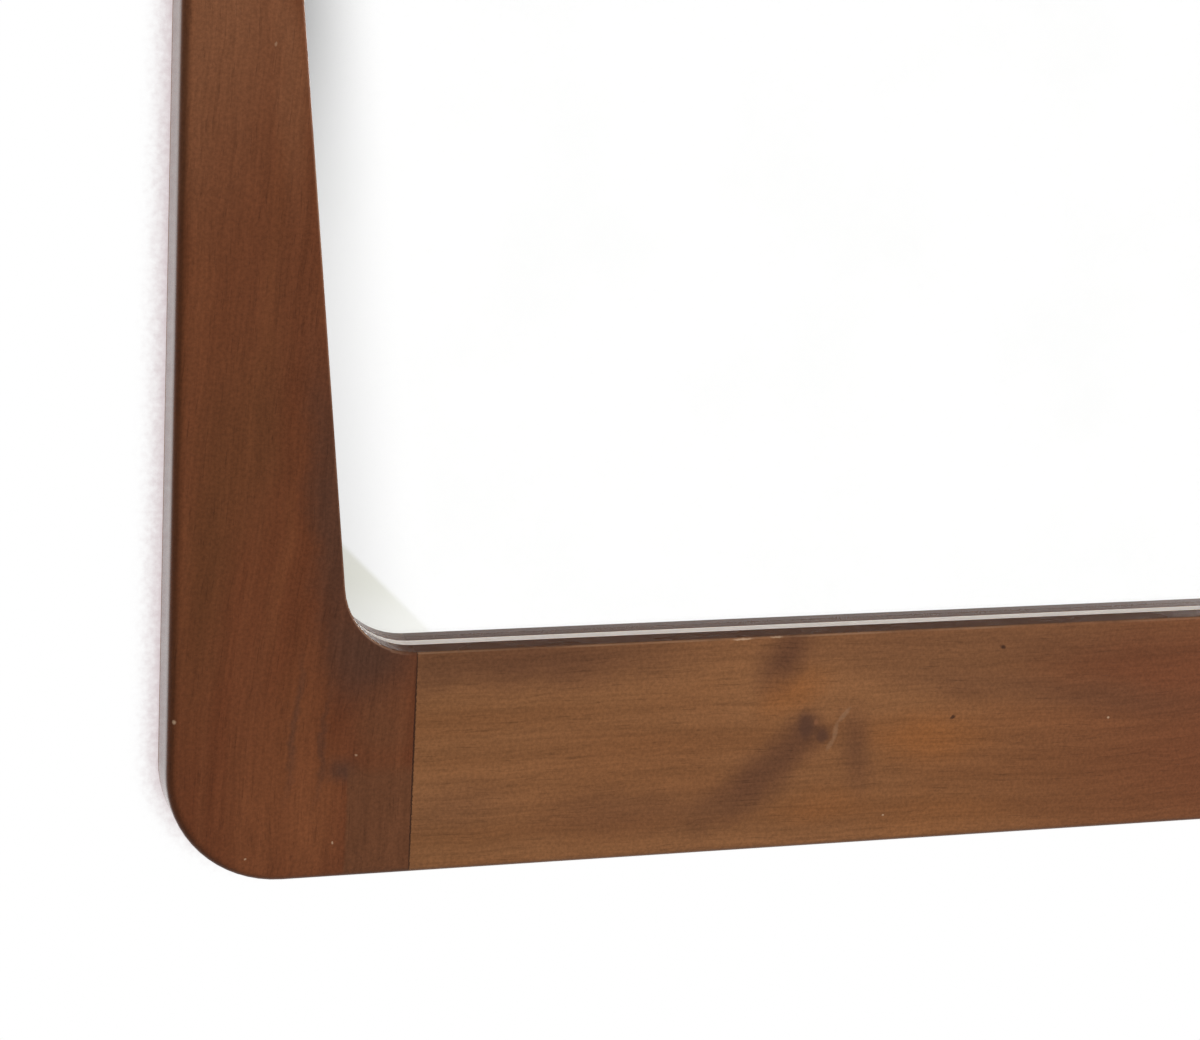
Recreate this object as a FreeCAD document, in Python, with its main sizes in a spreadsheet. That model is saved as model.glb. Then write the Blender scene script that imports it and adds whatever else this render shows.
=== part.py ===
import FreeCAD, Part
import math
import os
import re
import Sketcher
from types import SimpleNamespace

# A wooden wall mirror. Four boards are dowelled into a frame whose uprights, the stiles, taper
# towards the top. A glass plate silvered on its back lies in a rebate behind the frame's lip, and a
# backing board closes the back. The mirror hangs by two rings on the stiles and leans on two bumpers.
#
# X runs to the right of someone facing the mirror, Y runs into the wall, and Z is up. The origin is on
# the wall's surface, midway between the two ring pivots.

SIZES = {
    # Outline of the frame, seen from the front
    "overall_width": 800,
    "overall_height": 480,
    "outer_corner_radius": 40,
    "bottom_rail_height": 80,
    "top_rail_height": 48,
    # Width of a stile where the line of its leaning inner edge meets the frame's bottom and top edge
    "stile_foot_width": 69,
    "stile_head_width": 20,
    # Reach of a stile's foot and head: the joints with the rails are where the inner corner curves end
    "foot_length": 84,
    "head_length": 52,
    # Section of the frame
    "frame_thickness": 18,
    "lip_depth": 8.5,
    "rebate_width": 8,
    "outer_arris_radius": 3.5,
    "inner_arris_radius": 1,
    # Corner joints
    "dowel_diameter": 8,
    "dowel_length": 40,
    "dowel_end_gap": 1,
    # What lies in the rebate, from the lip to the back
    "tape_thickness": 0.6,
    "tape_setback": 0.2,
    "tape_edge_gap": 0.5,
    "glass_thickness": 3,
    "glass_edge_gap": 1.5,
    "coating_thickness": 0.2,
    "coating_edge_gap": 2,
    "backing_thickness": 2,
    "backing_edge_gap": 1,
    # Play of the glass plate between the tape and the silvered layer
    "glass_clearance": 0.05,
    # Blocks that keep the glass off the wood
    "setting_block_length": 40,
    "edge_spacer_length": 30,
    # Headless pins that hold the backing board
    "sprig_diameter": 1.4,
    "sprig_length": 16,
    "sprig_bite": 8,
    # Hangers
    "hanger_inset": 11.5,
    "strap_width": 11,
    "strap_length": 36,
    "strap_thickness": 0.9,
    "ring_wire_diameter": 2.2,
    "ring_pivot_clearance": 0.1,
    "ring_side_gap": 0.4,
    "ring_bend_radius": 2.5,
    "ring_reach": 16,
    # Hanger screws
    "screw_diameter": 3,
    "screw_length": 14,
    "screw_tip_length": 3,
    "screw_head_diameter": 5.6,
    "screw_head_height": 2,
    "screw_slot_width": 0.8,
    "screw_slot_depth": 0.9,
    "screw_drop": 21,
    "screw_pitch": 10,
    # Bumpers
    "bumper_diameter": 12,
    "bumper_thickness": 5,
    "bumper_inset": 28,
    "bumper_edge_radius": 1,
    # Play between a fixing and its hole, on the radius, and how far a cutting shape runs past the wood
    "fixing_clearance": 0.1,
    "overrun": 5,
}

# Places of repeated pieces, as shares of the size that they follow
DOWEL_SHARES = (0.26, 0.66)
RAIL_SPRIG_SHARES = (-0.375, -0.125, 0.125, 0.375)
STILE_SPRIG_SHARES = (0.35, 0.62)
SETTING_BLOCK_SHARE = 0.25
SIDE_SPACER_SHARES = (0.3, 0.7)
HANGER_SHARE = 0.75

size = SimpleNamespace(**SIZES)
doc = FreeCAD.newDocument("wooden_mirror")
sheet = doc.addObject("Spreadsheet::Sheet", "sizes")
for row, (alias, number) in enumerate(SIZES.items(), start=1):
    sheet.set(f"A{row}", alias)
    sheet.set(f"B{row}", str(number))
    sheet.setAlias(f"B{row}", alias)
doc.recompute()

ALIAS = re.compile(r"\b(" + "|".join(SIZES) + r")\b")


def linked(formula):
    """A formula of size names, with each name pointing at its cell."""
    return ALIAS.sub(r"sizes.\1", formula)


def bind(thing, **formulas):
    """Tie properties of an object to the sheet. A double underscore in a name stands for a dot."""
    for name, formula in formulas.items():
        thing.setExpression(name.replace("__", "."), linked(formula))


def place(thing, x="0", y="0", z="0"):
    """Tie the place of an object to the sheet."""
    bind(thing, Placement__Base__x=x, Placement__Base__y=y, Placement__Base__z=z)


# Levels that several pieces share. Depths count from the frame's back face towards the front.
BACK = "(-bumper_thickness)"
FOOT = f"(-{HANGER_SHARE} * overall_height)"
LEFT = "(-overall_width / 2)"
TAPER = "((stile_foot_width - stile_head_width) / overall_height)"
LEAN = f"atan{TAPER}"
SHOULDER = "(frame_thickness - lip_depth)"
TAPE_BACK = f"({SHOULDER} - tape_thickness)"
GLASS_FRONT = f"({TAPE_BACK} - glass_clearance)"
GLASS_BACK = f"({GLASS_FRONT} - glass_thickness)"
COATING_FRONT = f"({GLASS_BACK} - glass_clearance)"
COATING_BACK = f"({COATING_FRONT} - coating_thickness)"
BACKING_BACK = f"({COATING_BACK} - backing_thickness)"
SPRIG_AXIS = f"({BACKING_BACK} - sprig_diameter / 2 - fixing_clearance)"


def rebate_wall(height):
    """X of the left rebate wall at a height above the foot."""
    return f"({LEFT} + stile_foot_width - {TAPER} * ({height}) - rebate_width / cos({LEAN}))"


# Outlines, drawn on the frame's back face with the height above the foot as their second axis

BOTTOM, RIGHT, TOP, LEFT_SIDE = range(4)
START, END, CENTRE = range(1, 4)
X_AXIS, Y_AXIS = range(-1, -3, -1)


def drawn_value(sketch, kind, where):
    """What a dimension measures on the geometry as it was drawn."""
    if kind in ("Radius", "Diameter"):
        radius = sketch.Geometry[where[0]].Radius
        return radius if kind == "Radius" else 2 * radius
    span = sketch.getPoint(where[2], where[3]) - sketch.getPoint(where[0], where[1])
    return span.x if kind == "DistanceX" else span.y


def dimension(sketch, kind, *where, formula):
    """Add a dimension whose value comes from the sheet."""
    value = drawn_value(sketch, kind, where)
    index = sketch.addConstraint(Sketcher.Constraint(kind, *where, value))
    sketch.setExpression(f"Constraints[{index}]", linked(formula))


def rounded_corner(before, corner, after, radius):
    """The two tangent points of a rounded corner and the middle of its arc."""
    to_before = (before - corner).normalize()
    to_after = (after - corner).normalize()
    half_angle = to_before.getAngle(to_after) / 2
    reach = radius / math.tan(half_angle)
    towards_centre = (to_before + to_after).normalize()
    middle = corner + towards_centre * (radius / math.sin(half_angle) - radius)
    return corner + to_before * reach, middle, corner + to_after * reach


def draw_rounded_loop(sketch, corners, radii):
    """Four lines, then four arcs tangent to them, counter-clockwise from the lower left corner."""
    rounds = []
    for index, corner in enumerate(corners):
        following = corners[(index + 1) % len(corners)]
        rounds.append(rounded_corner(corners[index - 1], corner, following, radii[index]))
    for index, (_, _, leaving) in enumerate(rounds):
        arriving = rounds[(index + 1) % len(rounds)][0]
        sketch.addGeometry(Part.LineSegment(leaving, arriving), False)
    for arriving, middle, leaving in rounds:
        sketch.addGeometry(Part.Arc(arriving, middle, leaving), False)
    for index in range(len(corners)):
        arc = len(corners) + index
        line_before = (index - 1) % len(corners)
        sketch.addConstraint(Sketcher.Constraint("Tangent", line_before, END, arc, START))
        sketch.addConstraint(Sketcher.Constraint("Tangent", arc, END, index, START))


def outline_sketch(name):
    """An upright sketch on the frame's back face whose normal points to the front."""
    sketch = doc.addObject("Sketcher::SketchObject", name)
    sketch.Placement.Rotation = FreeCAD.Rotation(FreeCAD.Vector(1, 0, 0), 90)
    place(sketch, y=BACK, z=FOOT)
    return sketch


def frame_outline():
    """The rounded rectangle round the whole frame."""
    sketch = outline_sketch("frame_outline")
    half = size.overall_width / 2
    corners = [
        FreeCAD.Vector(-half, 0),
        FreeCAD.Vector(half, 0),
        FreeCAD.Vector(half, size.overall_height),
        FreeCAD.Vector(-half, size.overall_height),
    ]
    draw_rounded_loop(sketch, corners, [size.outer_corner_radius] * len(corners))
    sketch.addConstraint(Sketcher.Constraint("Horizontal", TOP))
    sketch.addConstraint(Sketcher.Constraint("Vertical", RIGHT))
    sketch.addConstraint(Sketcher.Constraint("Vertical", LEFT_SIDE))
    sketch.addConstraint(Sketcher.Constraint("PointOnObject", BOTTOM, START, X_AXIS))
    sketch.addConstraint(Sketcher.Constraint("Symmetric", BOTTOM, START, BOTTOM, END, Y_AXIS))
    first_arc = len(corners)
    for index in range(1, len(corners)):
        sketch.addConstraint(Sketcher.Constraint("Equal", first_arc, first_arc + index))
    dimension(sketch, "DistanceX", LEFT_SIDE, START, RIGHT, START, formula="overall_width")
    dimension(sketch, "DistanceY", BOTTOM, START, TOP, START, formula="overall_height")
    dimension(sketch, "Radius", first_arc, formula="outer_corner_radius")
    return sketch


def opening_outline():
    """The opening between the boards: level at the bottom and the top, with leaning sides.

    Each corner curve starts where a rail's joint is, and its radius follows from the leaning side.
    """
    sketch = outline_sketch("opening_outline")
    half = size.overall_width / 2
    taper = (size.stile_foot_width - size.stile_head_width) / size.overall_height
    low = size.bottom_rail_height
    high = size.overall_height - size.top_rail_height
    low_width = size.stile_foot_width - taper * low
    high_width = size.stile_foot_width - taper * high
    lean = math.atan(taper)
    low_radius = (size.foot_length - low_width) * math.tan(math.pi / 4 + lean / 2)
    high_radius = (size.head_length - high_width) * math.tan(math.pi / 4 - lean / 2)
    corners = [
        FreeCAD.Vector(low_width - half, low),
        FreeCAD.Vector(half - low_width, low),
        FreeCAD.Vector(half - high_width, high),
        FreeCAD.Vector(high_width - half, high),
    ]
    draw_rounded_loop(sketch, corners, [low_radius, low_radius, high_radius, high_radius])

    # The leaning sides lie on guide lines that run from the bottom edge of the frame to its top edge
    for side, line in ((-1, LEFT_SIDE), (1, RIGHT)):
        foot = FreeCAD.Vector(side * (half - size.stile_foot_width), 0)
        head = FreeCAD.Vector(side * (half - size.stile_head_width), size.overall_height)
        guide = sketch.addGeometry(Part.LineSegment(foot, head), True)
        sketch.addConstraint(Sketcher.Constraint("PointOnObject", guide, START, X_AXIS))
        for end, formula in ((START, "stile_foot_width"), (END, "stile_head_width")):
            ends = (guide, end, X_AXIS, START) if side < 0 else (X_AXIS, START, guide, end)
            dimension(sketch, "DistanceX", *ends, formula=f"overall_width / 2 - {formula}")
        dimension(sketch, "DistanceY", guide, START, guide, END, formula="overall_height")
        sketch.addConstraint(Sketcher.Constraint("PointOnObject", line, START, guide))
        sketch.addConstraint(Sketcher.Constraint("PointOnObject", line, END, guide))

    dimension(sketch, "DistanceY", X_AXIS, START, BOTTOM, START, formula="bottom_rail_height")
    dimension(sketch, "DistanceY", X_AXIS, START, TOP, START, formula="overall_height - top_rail_height")
    for line, formula in ((BOTTOM, "foot_length"), (TOP, "head_length")):
        sketch.addConstraint(Sketcher.Constraint("Symmetric", line, START, line, END, Y_AXIS))
        ends = (line, START, line, END) if line == BOTTOM else (line, END, line, START)
        dimension(sketch, "DistanceX", *ends, formula=f"overall_width - 2 * {formula}")
    return sketch


def grown(outline, name, formula):
    """An outline moved outwards by a distance."""
    offset = doc.addObject("Part::Offset2D", name)
    offset.Source = outline
    bind(offset, Value=formula)
    return offset


def slab(name, outline, front, back="0"):
    """A plate cut to an outline, between two depths counted from the frame's back face."""
    plate = doc.addObject("Part::Extrusion", name)
    plate.Base = outline
    plate.DirMode = "Normal"
    plate.Solid = True
    bind(plate, LengthFwd=front, LengthRev=f"-({back})")
    return plate


def box(name, x, y, z, width, depth, height):
    """A block from its lowest corner."""
    block = doc.addObject("Part::Box", name)
    bind(block, Length=width, Width=depth, Height=height)
    place(block, x, y, z)
    return block


AXIS_TURNS = {
    "X": FreeCAD.Rotation(FreeCAD.Vector(0, 1, 0), 90),
    "Y": FreeCAD.Rotation(FreeCAD.Vector(1, 0, 0), -90),
    "Z": FreeCAD.Rotation(),
}


def rod(name, axis, x, y, z, radius, length):
    """A round rod that runs along an axis from a point."""
    cylinder = doc.addObject("Part::Cylinder", name)
    cylinder.Placement.Rotation = AXIS_TURNS[axis]
    bind(cylinder, Radius=radius, Height=length)
    place(cylinder, x, y, z)
    return cylinder


def cut(name, base, tool):
    """One shape less another."""
    result = doc.addObject("Part::Cut", name)
    result.Base = base
    result.Tool = tool
    return result


def common(name, base, tool):
    """What two shapes share."""
    result = doc.addObject("Part::Common", name)
    result.Base = base
    result.Tool = tool
    return result


def fused(name, shapes):
    """Several shapes joined into one."""
    result = doc.addObject("Part::MultiFuse", name)
    result.Shapes = shapes
    return result


def group(name, pieces):
    """Separate pieces under one name."""
    result = doc.addObject("Part::Compound", name)
    result.Links = pieces
    return result


def mirrored(name, source):
    """The right-hand twin of a left-hand piece."""
    twin = doc.addObject("Part::Mirroring", name)
    twin.Source = source
    twin.Normal = FreeCAD.Vector(1, 0, 0)
    return twin


nodes = []


def node(thing, label=None):
    """Count an object as a finished piece. Its label names its file."""
    thing.Label = label or thing.Name
    nodes.append(thing)
    return thing


# Dowels and sprigs first, because the frame is bored for them

def dowel_height(rail, share):
    """Height of a dowel above the foot, as a share of its rail counted from the frame's outer edge."""
    if rail == "lower":
        return f"{share} * bottom_rail_height"
    return f"overall_height - {share} * top_rail_height"


def joint_rods(rail, prefix, radius, length):
    """A rod across the left joint of a rail at each dowel's place."""
    reach = "foot_length" if rail == "lower" else "head_length"
    rods = []
    for index, share in enumerate(DOWEL_SHARES, start=1):
        start = f"{LEFT} + {reach} - ({length}) / 2"
        height = f"{FOOT} + {dowel_height(rail, share)}"
        depth = f"{BACK} - frame_thickness / 2"
        rods.append(rod(f"{prefix}_{rail}_{index}", "X", start, depth, height, radius, length))
    return rods


def sprig_rods(prefix, radius, bite, length):
    """A rod at each sprig of the left stile and of the rails, from in the wood to over the backing."""
    rods = []
    depth = f"{BACK} - {SPRIG_AXIS}"
    for index, share in enumerate(STILE_SPRIG_SHARES, start=1):
        height = f"{share} * overall_height"
        start = f"{rebate_wall(height)} - ({bite})"
        rods.append(rod(f"{prefix}_stile_{index}", "X", start, depth, f"{FOOT} + {height}", radius, length))
    for index, share in enumerate(RAIL_SPRIG_SHARES, start=1):
        across = f"{share} * overall_width"
        low = f"{FOOT} + bottom_rail_height - rebate_width - ({bite})"
        high = f"{FOOT} + overall_height - top_rail_height + rebate_width + ({bite}) - ({length})"
        rods.append(rod(f"{prefix}_bottom_{index}", "Z", across, depth, low, radius, length))
        rods.append(rod(f"{prefix}_top_{index}", "Z", across, depth, high, radius, length))
    return rods


def screw_rods(prefix, radius, length):
    """A rod into the left stile at each hanger screw, from the frame's back face inwards."""
    rods = []
    for index, drop in enumerate(("screw_drop", "screw_drop + screw_pitch"), start=1):
        start = f"{BACK} - ({length})"
        rods.append(rod(f"{prefix}_{index}", "Y", f"{LEFT} + hanger_inset", start, f"-({drop})", radius,
                        f"{length} + overrun"))
    return rods


for rail in ("lower", "upper"):
    dowels = joint_rods(rail, "dowel", "dowel_diameter / 2", "dowel_length")
    left_dowels = node(group(f"{rail}_left_dowels", dowels))
    node(mirrored(f"{rail}_right_dowels", left_dowels))


# Frame: the blank is cut, rebated, rounded and bored as one, and then parted at the joints

outer = frame_outline()
opening = opening_outline()
rebate = grown(opening, "rebate_outline", "rebate_width")

blank = slab("frame_blank", outer, "frame_thickness")
window = slab("frame_window", opening, "frame_thickness + overrun", "-overrun")
recess = slab("frame_recess", rebate, SHOULDER, "-overrun")
pierced = cut("pierced_frame", blank, window)
rebated = cut("rebated_frame", pierced, recess)
doc.recompute()


def edge_numbers(shape, edges):
    """Numbers of some edges within a shape."""
    return [
        number
        for number, edge in enumerate(shape.Edges, start=1)
        if any(edge.isSame(wanted) for wanted in edges)
    ]


front_face = min(rebated.Shape.Faces, key=lambda face: face.BoundBox.YMax)
outer_wire = front_face.OuterWire
inner_wire = next(wire for wire in front_face.Wires if not wire.isSame(outer_wire))
rounded = doc.addObject("Part::Fillet", "rounded_frame")
rounded.Base = rebated
rounded.Edges = [
    (number, radius, radius)
    for wire, radius in ((outer_wire, size.outer_arris_radius), (inner_wire, size.inner_arris_radius))
    for number in edge_numbers(rebated.Shape, wire.Edges)
]

DOWEL_BORE_RADIUS = "dowel_diameter / 2 + fixing_clearance"
DOWEL_BORE_LENGTH = "dowel_length + 2 * dowel_end_gap"
left_bores = (
    joint_rods("lower", "dowel_bore", DOWEL_BORE_RADIUS, DOWEL_BORE_LENGTH)
    + joint_rods("upper", "dowel_bore", DOWEL_BORE_RADIUS, DOWEL_BORE_LENGTH)
    + sprig_rods("sprig_bore", "sprig_diameter / 2 + fixing_clearance", "sprig_bite + fixing_clearance",
                 "sprig_length")
    + screw_rods("screw_bore", "screw_diameter / 2 + fixing_clearance",
                 "screw_length - strap_thickness + fixing_clearance")
)
left_side_bores = fused("left_side_bores", left_bores)
right_side_bores = mirrored("right_side_bores", left_side_bores)
bored_left = cut("frame_bored_left", rounded, left_side_bores)
bored = cut("frame_bored", bored_left, right_side_bores)

# Zones that part the frame. They meet at half its height, where only the stiles have wood.
ZONE_DEPTH = ("-bumper_thickness - frame_thickness - overrun", "frame_thickness + 2 * overrun")
HALF_HEIGHT = "overall_height / 2"


def zone(name, x, width, z, height):
    """A block that reaches through the whole thickness of the frame."""
    return box(name, x, ZONE_DEPTH[0], z, width, ZONE_DEPTH[1], height)


foot_zone = zone("foot_zone", f"{LEFT} - overrun", "foot_length + overrun",
                 f"{FOOT} - overrun", f"{HALF_HEIGHT} + overrun")
head_zone = zone("head_zone", f"{LEFT} - overrun", "head_length + overrun",
                 f"{FOOT} + {HALF_HEIGHT}", f"{HALF_HEIGHT} + overrun")
bottom_zone = zone("bottom_zone", f"{LEFT} + foot_length", "overall_width - 2 * foot_length",
                   f"{FOOT} - overrun", f"{HALF_HEIGHT} + overrun")
top_zone = zone("top_zone", f"{LEFT} + head_length", "overall_width - 2 * head_length",
                f"{FOOT} + {HALF_HEIGHT}", f"{HALF_HEIGHT} + overrun")
left_stile = node(common("left_stile", bored, fused("stile_zone", [foot_zone, head_zone])))
node(mirrored("right_stile", left_stile))
node(common("bottom_rail", bored, bottom_zone))
node(common("top_rail", bored, top_zone))


# Glazing

def glazing_outline(name, edge_gap):
    """The rebate's outline less a gap at the edge."""
    return grown(opening, name, f"rebate_width - {edge_gap}")


tape_outer = slab("tape_outer", glazing_outline("tape_outline", "tape_edge_gap"), SHOULDER, TAPE_BACK)
tape_inner_outline = grown(opening, "tape_inner_outline", "tape_setback")
tape_inner = slab("tape_inner", tape_inner_outline, f"{SHOULDER} + overrun", f"{TAPE_BACK} - overrun")
node(cut("glazing_tape", tape_outer, tape_inner))
glass_edge = glazing_outline("glass_outline", "glass_edge_gap")
node(slab("mirror_glass", glass_edge, GLASS_FRONT, GLASS_BACK))
coating_edge = glazing_outline("coating_outline", "coating_edge_gap")
node(slab("silver_coating", coating_edge, COATING_FRONT, COATING_BACK))
backing_edge = glazing_outline("backing_outline", "backing_edge_gap")
node(slab("backing_board", backing_edge, COATING_BACK, BACKING_BACK))

blocks = []
for side, sign in (("left", "-"), ("right", "")):
    middle = f"{sign}{SETTING_BLOCK_SHARE} * overall_width"
    blocks.append(box(f"{side}_setting_block", f"{middle} - setting_block_length / 2",
                      f"{BACK} - {GLASS_FRONT}", f"{FOOT} + bottom_rail_height - rebate_width",
                      "setting_block_length", "glass_thickness", "glass_edge_gap"))
node(group("setting_blocks", blocks))

side_spacers = []
stile_lean = math.degrees(math.atan((size.stile_foot_width - size.stile_head_width) / size.overall_height))
for index, share in enumerate(SIDE_SPACER_SHARES, start=1):
    height = f"{share} * overall_height"
    spacer = box(f"side_spacer_{index}", rebate_wall(height), f"{BACK} - {GLASS_FRONT}",
                 f"{FOOT} + {height}", "glass_edge_gap", "glass_thickness", "edge_spacer_length")
    spacer.Placement.Rotation = FreeCAD.Rotation(FreeCAD.Vector(0, -1, 0), stile_lean)
    bind(spacer, Placement__Rotation__Angle=LEAN)
    side_spacers.append(spacer)
left_spacers = node(group("left_edge_spacers", side_spacers))
node(mirrored("right_edge_spacers", left_spacers))

sprigs = sprig_rods("sprig", "sprig_diameter / 2", "sprig_bite", "sprig_length")
stile_sprigs = group("left_stile_sprigs", sprigs[:len(STILE_SPRIG_SHARES)])
right_stile_sprigs = mirrored("right_stile_sprigs", stile_sprigs)
node(group("sprigs", [stile_sprigs, right_stile_sprigs] + sprigs[len(STILE_SPRIG_SHARES):]))


# Hangers and bumpers, each drawn about its own origin on the frame's back face

def new_body(name):
    """An empty body."""
    return doc.addObject("PartDesign::Body", name)


def sketch_on(body, role, name, offset=None):
    """A sketch on one of a body's own origin planes, moved along its normal if an offset is given."""
    sketch = body.newObject("Sketcher::SketchObject", name)
    plane = next(feature for feature in body.Origin.OriginFeatures if feature.Role == role)
    sketch.AttachmentSupport = [(plane, "")]
    sketch.MapMode = "FlatFace"
    if offset:
        bind(sketch, AttachmentOffset__Base__z=offset)
    return sketch


def draw_lines(sketch, points):
    """A chain of lines through points."""
    first = sketch.GeometryCount
    for start, end in zip(points, points[1:]):
        sketch.addGeometry(Part.LineSegment(FreeCAD.Vector(*start), FreeCAD.Vector(*end)), False)
    for number in range(first, sketch.GeometryCount - 1):
        sketch.addConstraint(Sketcher.Constraint("Coincident", number, END, number + 1, START))
    return first


def draw_circle(sketch, x, y, radius, diameter):
    """A circle whose diameter comes from the sheet. Its place is dimensioned by the caller."""
    circle = Part.Circle(FreeCAD.Vector(x, y), FreeCAD.Vector(0, 0, 1), radius)
    number = sketch.addGeometry(circle, False)
    dimension(sketch, "Diameter", number, formula=diameter)
    return number


PIVOT_BORE = "(ring_wire_diameter + 2 * ring_pivot_clearance)"
EYE_DIAMETER = f"({PIVOT_BORE} + 2 * strap_thickness)"
PIVOT_DEPTH = f"({EYE_DIAMETER} / 2)"


def hanger_strap():
    """A flat strap with a round lower end, rolled into an eye at the top, with two screw holes."""
    body = new_body("left_hanger_strap")
    half = size.strap_width / 2
    low = half - size.strap_length
    plate = sketch_on(body, "XZ_Plane", "strap_plate")
    draw_lines(plate, [(half, low), (half, 0), (-half, 0), (-half, low)])
    right_side, top_edge, left_side = range(3)
    end = plate.addGeometry(Part.Arc(FreeCAD.Vector(-half, low), FreeCAD.Vector(0, -size.strap_length),
                                     FreeCAD.Vector(half, low)), False)
    plate.addConstraint(Sketcher.Constraint("Tangent", left_side, END, end, START))
    plate.addConstraint(Sketcher.Constraint("Tangent", end, END, right_side, START))
    plate.addConstraint(Sketcher.Constraint("Vertical", left_side))
    plate.addConstraint(Sketcher.Constraint("Vertical", right_side))
    plate.addConstraint(Sketcher.Constraint("Horizontal", top_edge))
    plate.addConstraint(Sketcher.Constraint("Symmetric", top_edge, START, top_edge, END, X_AXIS, START))
    dimension(plate, "DistanceX", top_edge, END, top_edge, START, formula="strap_width")
    dimension(plate, "DistanceY", end, CENTRE, X_AXIS, START, formula="strap_length - strap_width / 2")
    pad = body.newObject("PartDesign::Pad", "strap_pad")
    pad.Profile = plate
    pad.Reversed = True
    bind(pad, Length="strap_thickness")

    for name, kind, diameter in (("eye", "PartDesign::Pad", EYE_DIAMETER),
                                 ("bore", "PartDesign::Pocket", PIVOT_BORE)):
        circle = sketch_on(body, "YZ_Plane", f"strap_{name}_circle")
        number = draw_circle(circle, size.ring_wire_diameter, 0, size.ring_wire_diameter / 2, diameter)
        circle.addConstraint(Sketcher.Constraint("PointOnObject", number, CENTRE, X_AXIS))
        dimension(circle, "DistanceX", X_AXIS, START, number, CENTRE, formula=PIVOT_DEPTH)
        feature = body.newObject(kind, f"strap_{name}")
        feature.Profile = circle
        feature.Midplane = True
        bind(feature, Length="strap_width" if name == "eye" else "strap_width + 2 * overrun")

    holes = sketch_on(body, "XZ_Plane", "strap_holes")
    for drop in ("screw_drop", "screw_drop + screw_pitch"):
        number = draw_circle(holes, 0, -size.screw_drop, size.screw_diameter / 2,
                             "screw_diameter + 2 * fixing_clearance")
        holes.addConstraint(Sketcher.Constraint("PointOnObject", number, CENTRE, Y_AXIS))
        dimension(holes, "DistanceY", number, CENTRE, X_AXIS, START, formula=drop)
    pocket = body.newObject("PartDesign::Pocket", "strap_hole_pocket")
    pocket.Profile = holes
    pocket.Midplane = True
    bind(pocket, Length="2 * overrun")
    place(body, f"{LEFT} + hanger_inset", BACK, "0")
    return body


def hanger_ring():
    """A wire ring, straight where it turns in the eye and half round at the end that hangs down."""
    body = new_body("left_hanger_ring")
    bend = size.ring_bend_radius
    half = size.strap_width / 2 + size.ring_side_gap + bend
    flat = half - bend
    legs_end = half - size.ring_reach
    slant = bend * math.sqrt(2) / 2
    path = sketch_on(body, "XZ_Plane", "ring_path")
    points = {
        "middle": FreeCAD.Vector(0, 0), "right": FreeCAD.Vector(flat, 0), "left": FreeCAD.Vector(-flat, 0),
        "right_bend": FreeCAD.Vector(flat + slant, slant - bend), "right_leg": FreeCAD.Vector(half, -bend),
        "left_bend": FreeCAD.Vector(-flat - slant, slant - bend), "left_leg": FreeCAD.Vector(-half, -bend),
        "right_foot": FreeCAD.Vector(half, legs_end), "left_foot": FreeCAD.Vector(-half, legs_end),
        "bow": FreeCAD.Vector(0, -size.ring_reach),
    }
    line_1 = path.addGeometry(Part.LineSegment(points["middle"], points["right"]), False)
    bend_1 = path.addGeometry(Part.Arc(points["right"], points["right_bend"], points["right_leg"]), False)
    leg_1 = path.addGeometry(Part.LineSegment(points["right_leg"], points["right_foot"]), False)
    bow = path.addGeometry(Part.Arc(points["right_foot"], points["bow"], points["left_foot"]), False)
    leg_2 = path.addGeometry(Part.LineSegment(points["left_foot"], points["left_leg"]), False)
    bend_2 = path.addGeometry(Part.Arc(points["left_leg"], points["left_bend"], points["left"]), False)
    line_2 = path.addGeometry(Part.LineSegment(points["left"], points["middle"]), False)
    # Arcs run counter-clockwise, so each arc's end comes before its start on this clockwise path
    joints = [(line_1, END, bend_1, END), (bend_1, START, leg_1, START), (leg_1, END, bow, END),
              (bow, START, leg_2, START), (leg_2, END, bend_2, END), (bend_2, START, line_2, START)]
    for joint in joints:
        path.addConstraint(Sketcher.Constraint("Tangent", *joint))
    path.addConstraint(Sketcher.Constraint("Coincident", line_2, END, line_1, START))
    path.addConstraint(Sketcher.Constraint("Coincident", line_1, START, X_AXIS, START))
    path.addConstraint(Sketcher.Constraint("Horizontal", line_1))
    path.addConstraint(Sketcher.Constraint("Horizontal", line_2))
    path.addConstraint(Sketcher.Constraint("Vertical", leg_1))
    path.addConstraint(Sketcher.Constraint("Vertical", leg_2))
    path.addConstraint(Sketcher.Constraint("Equal", bend_1, bend_2))
    path.addConstraint(Sketcher.Constraint("Equal", line_1, line_2))
    dimension(path, "Radius", bend_1, formula="ring_bend_radius")
    dimension(path, "DistanceX", line_1, START, line_1, END, formula="strap_width / 2 + ring_side_gap")
    dimension(path, "DistanceY", bow, CENTRE, X_AXIS, START,
              formula="ring_reach - strap_width / 2 - ring_side_gap - ring_bend_radius")
    wire = sketch_on(body, "YZ_Plane", "ring_wire")
    number = draw_circle(wire, 0, 0, size.ring_wire_diameter / 2, "ring_wire_diameter")
    wire.addConstraint(Sketcher.Constraint("Coincident", number, CENTRE, X_AXIS, START))
    doc.recompute()
    pipe = body.newObject("PartDesign::AdditivePipe", "ring_pipe")
    pipe.Profile = wire
    pipe.Spine = (path, [f"Edge{number}" for number in range(1, len(path.Shape.Edges) + 1)])
    place(body, f"{LEFT} + hanger_inset", f"{BACK} + {PIVOT_DEPTH}", "0")
    return body


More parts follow.
